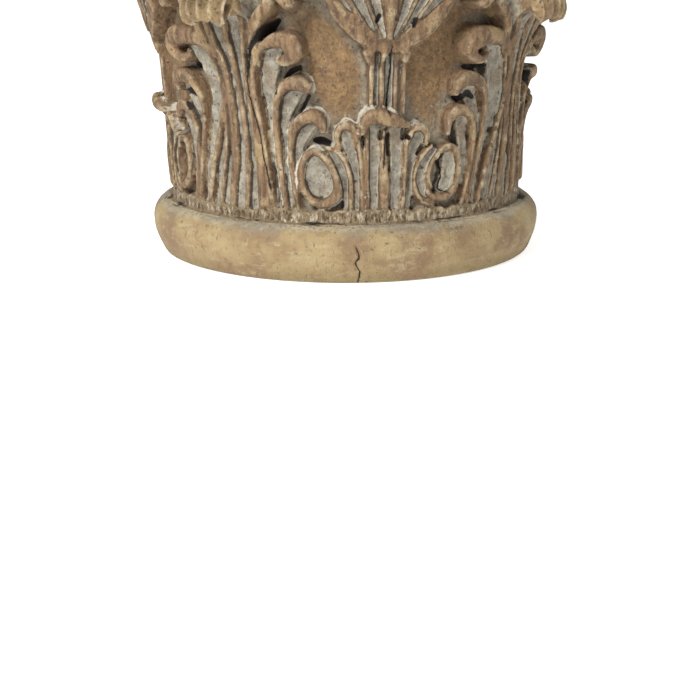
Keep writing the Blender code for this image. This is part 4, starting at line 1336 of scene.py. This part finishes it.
# %% The cast stone material
MOTTLED_OVER = (0.38, 0.62)
SMOOTHER_BASE = -0.06
FOOT_TONE = -0.25
FOOT_FADE = 2.5
LINE_HALF_WIDTH = 0.60
BUMPS = (("grain", 0.5), ("speck", 0.9), ("streak", 0.3), ("brush", 0.2))
CUTS = (("dark_pits", 0.6), ("crack_line", 0.9), ("chiselled", 0.7))
BUMP_HEIGHT = 1.2


def cast_stone():
    """Cast stone: cement and fine marble sand, dull, with a trace of sheen when worn."""
    material = bpy.data.materials.new("whitewashed_cast_stone")
    material.use_nodes = True
    tree = material.node_tree
    shader = tree.nodes["Principled BSDF"]

    # where a spot is, in millimetres up, and on which part
    spot = add_node(tree, "ShaderNodeTexCoord", output=3)
    up = add_node(tree, "ShaderNodeSeparateXYZ", {0: spot}, output=2)
    up = add_node(tree, "ShaderNodeMath", {0: up, 1: 1.0 / MM}, operation="MULTIPLY")
    on_base = add_node(tree, "ShaderNodeMath", {0: up, 1: BASE_TOP}, operation="LESS_THAN")
    value = {"height": up, "on_base": on_base}
    for name, other, factor in (("height_on_base", up, on_base),
                                ("smoother", on_base, SMOOTHER_BASE)):
        value[name] = add_node(tree, "ShaderNodeMath", {0: other, 1: factor},
                               operation="MULTIPLY")
    value["between"] = add_node(tree, "ShaderNodeMath", {
        0: up, 1: 0.5 * (BASE_TOP + BELL_TOP), 2: 0.5 * (BELL_TOP - BASE_TOP)},
        operation="COMPARE")

    # the noises, each also with its middle at nought, and as a mix between two colours
    uneven, mottle = {}, {}
    for name, (size, detail, rough, squeeze) in NOISES.items():
        drawn_out = add_node(tree, "ShaderNodeVectorMath", {0: spot, 1: (1.0, 1.0, squeeze)},
                             operation="MULTIPLY")
        value[name] = add_node(tree, "ShaderNodeTexNoise", {
            "Vector": drawn_out, "Scale": 1.0 / (size * MM), "Detail": detail,
            "Roughness": rough})
        uneven[name] = add_node(tree, "ShaderNodeMath", {0: value[name], 1: 0.5},
                                operation="SUBTRACT")
        mottle[name] = add_node(tree, "ShaderNodeMapRange", {
            "Value": value[name], "From Min": MOTTLED_OVER[0], "From Max": MOTTLED_OVER[1]})

    # the marks of the mesh, and the fields with their broken borders
    for name in MARKS:
        value[name] = add_node(tree, "ShaderNodeAttribute", output=2, attribute_name=name)
    for name, (start, broken_by, amount) in FIELDS.items():
        value[name] = add_node(tree, "ShaderNodeMath", {
            0: uneven[broken_by], 1: amount, 2: value[start]}, operation="MULTIPLY_ADD")

    # painted highlight on the feet of the ribs that face left, towards the light, and painted
    # shade on those that face right
    outside = add_node(tree, "ShaderNodeMath", {0: value["tone"], 1: FOOT_TONE},
                       operation="SUBTRACT")
    outside = add_node(tree, "ShaderNodeMath", {0: outside}, operation="ABSOLUTE")
    for name, facing_left in (("lit_foot", 1.0), ("shaded_foot", -1.0)):
        turned = add_node(tree, "ShaderNodeMath", {0: value["turned"], 1: facing_left},
                          operation="MULTIPLY")
        value[name] = add_node(tree, "ShaderNodeMath", {
            0: outside, 1: -FOOT_FADE, 2: turned}, operation="MULTIPLY_ADD")

    # a thin line where the signed distance from a crack passes through nought
    torn = add_node(tree, "ShaderNodeMath", {0: value["torn"]}, operation="ABSOLUTE")
    line = add_node(tree, "ShaderNodeMath", {0: LINE_HALF_WIDTH, 1: torn},
                    operation="SUBTRACT")
    value["crack_line"] = add_node(tree, "ShaderNodeMath", {0: line, 1: value["by_split"]},
                                   operation="MULTIPLY")

    # coat over coat on the plain stone
    surface = add_node(tree, "ShaderNodeMix", {
        0: mottle["blotch"], 6: colour(PLAIN_STONE[0]), 7: colour(PLAIN_STONE[1])}, output=2,
        data_type="RGBA")
    shares = {}
    for name, start, full, share, first, second, mottled_by in COATS:
        shares[name] = add_node(tree, "ShaderNodeMapRange", {
            "Value": value[name], "From Min": start, "From Max": full, "To Max": share},
            interpolation_type="SMOOTHSTEP")
        paint = add_node(tree, "ShaderNodeMix", {
            0: mottle[mottled_by], 6: colour(first), 7: colour(second)}, output=2,
            data_type="RGBA")
        surface = add_node(tree, "ShaderNodeMix", {0: shares[name], 6: surface, 7: paint},
                           output=2, data_type="RGBA")

    # grain and brush marks stand up, pits, cracks and chisel marks are cut in
    relief = 0.0
    for bumps, amount in ([(value[name], amount) for name, amount in BUMPS]
                          + [(shares[name], -depth) for name, depth in CUTS]):
        relief = add_node(tree, "ShaderNodeMath", {0: bumps, 1: amount, 2: relief},
                          operation="MULTIPLY_ADD")
    raised = add_node(tree, "ShaderNodeBump", {
        "Height": relief, "Strength": 0.9, "Distance": BUMP_HEIGHT * MM})
    tree.links.new(surface, shader.inputs["Base Color"])
    tree.links.new(raised, shader.inputs["Normal"])
    shader.inputs["Roughness"].default_value = 0.82
    shader.inputs["IOR"].default_value = 1.5
    shader.inputs["Specular IOR Level"].default_value = 0.35
    return material


casting.data.materials.clear()
casting.data.materials.append(cast_stone())
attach(casting, "root")
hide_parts("pedestal")
print("the casting replaces the plain solid")

# %% [markdown]
# ## Camera, light and floor
#
# The camera was found from the base's two ellipse edges: it stands to the left of the
# front, level with the leaf tips, and looks down by 17 degrees, because the photograph
# cuts off the top. The light is one soft box from the upper left, in a white room that
# fills the shadows. The room's light on the stone is weaker than the white that the
# camera sees, or the carving would look flat, and the paper on the floor glows a little,
# so that it stays white up to the base.

# %% Camera
CAMERA_TURN = -12.4
CAMERA_DISTANCE = 882.0
CAMERA_HEIGHT = 190.0
CAMERA_PITCH = 17.38
CAMERA_SIDESTEP = 3.2
LENS = 61.9
SENSOR = 36.0

camera_data = bpy.data.cameras.new("camera")
camera_data.lens = LENS
camera_data.sensor_width = SENSOR
camera = placed("camera", camera_data)
camera.location = Vector(round_axis(CAMERA_TURN, CAMERA_DISTANCE, CAMERA_SIDESTEP,
                                    CAMERA_HEIGHT)) * MM
camera.rotation_euler = (math.radians(90.0 - CAMERA_PITCH), 0.0, math.radians(CAMERA_TURN))
bpy.context.scene.camera = camera
print("camera at", tuple(round(v, 3) for v in camera.location))


# %% Light, room and floor
KEY_TURN = -40.0
KEY_DISTANCE = 1200.0
KEY_HEIGHT = 1050.0
KEY_SIZE = 400.0
KEY_POWER = 27.5
AIM_HEIGHT = 120.0
ROOM_LIGHT = 0.60
FLOOR_REACH = 60000.0
PAPER_GLOW = 0.65

lamp = bpy.data.lights.new("key_light", "AREA")
lamp.size = KEY_SIZE * MM
lamp.energy = KEY_POWER
key_light = placed("key_light", lamp)
key_light.location = Vector(round_axis(KEY_TURN, KEY_DISTANCE, 0.0, KEY_HEIGHT)) * MM
aim = Vector((0.0, 0.0, AIM_HEIGHT * MM)) - key_light.location
key_light.rotation_euler = aim.to_track_quat("-Z", "Y").to_euler()

world = bpy.data.worlds.new("white_room")
bpy.context.scene.world = world
world.use_nodes = True
room = world.node_tree.nodes["Background"].inputs
room["Color"].default_value = (1.0, 1.0, 1.0, 1.0)
seen_directly = add_node(world.node_tree, "ShaderNodeLightPath")
brightness = add_node(world.node_tree, "ShaderNodeMapRange", {
    "Value": seen_directly, "To Min": ROOM_LIGHT, "To Max": 1.0})
world.node_tree.links.new(brightness, room["Strength"])
bpy.context.scene.view_settings.view_transform = "Standard"

floor_form = bmesh.new()
bmesh.ops.create_grid(floor_form, x_segments=2, y_segments=2, size=FLOOR_REACH * MM)
floor_mesh = finished(floor_form, "floor")
floor = placed("floor", floor_mesh)
paper = bpy.data.materials.new("white_paper")
paper.use_nodes = True
for socket, value in (("Base Color", colour("#F4F4F4")), ("Roughness", 0.9),
                      ("Emission Color", (1.0, 1.0, 1.0, 1.0)),
                      ("Emission Strength", PAPER_GLOW)):
    paper.node_tree.nodes["Principled BSDF"].inputs[socket].default_value = value
floor_mesh.materials.append(paper)
print("a soft light, a white room and a floor")
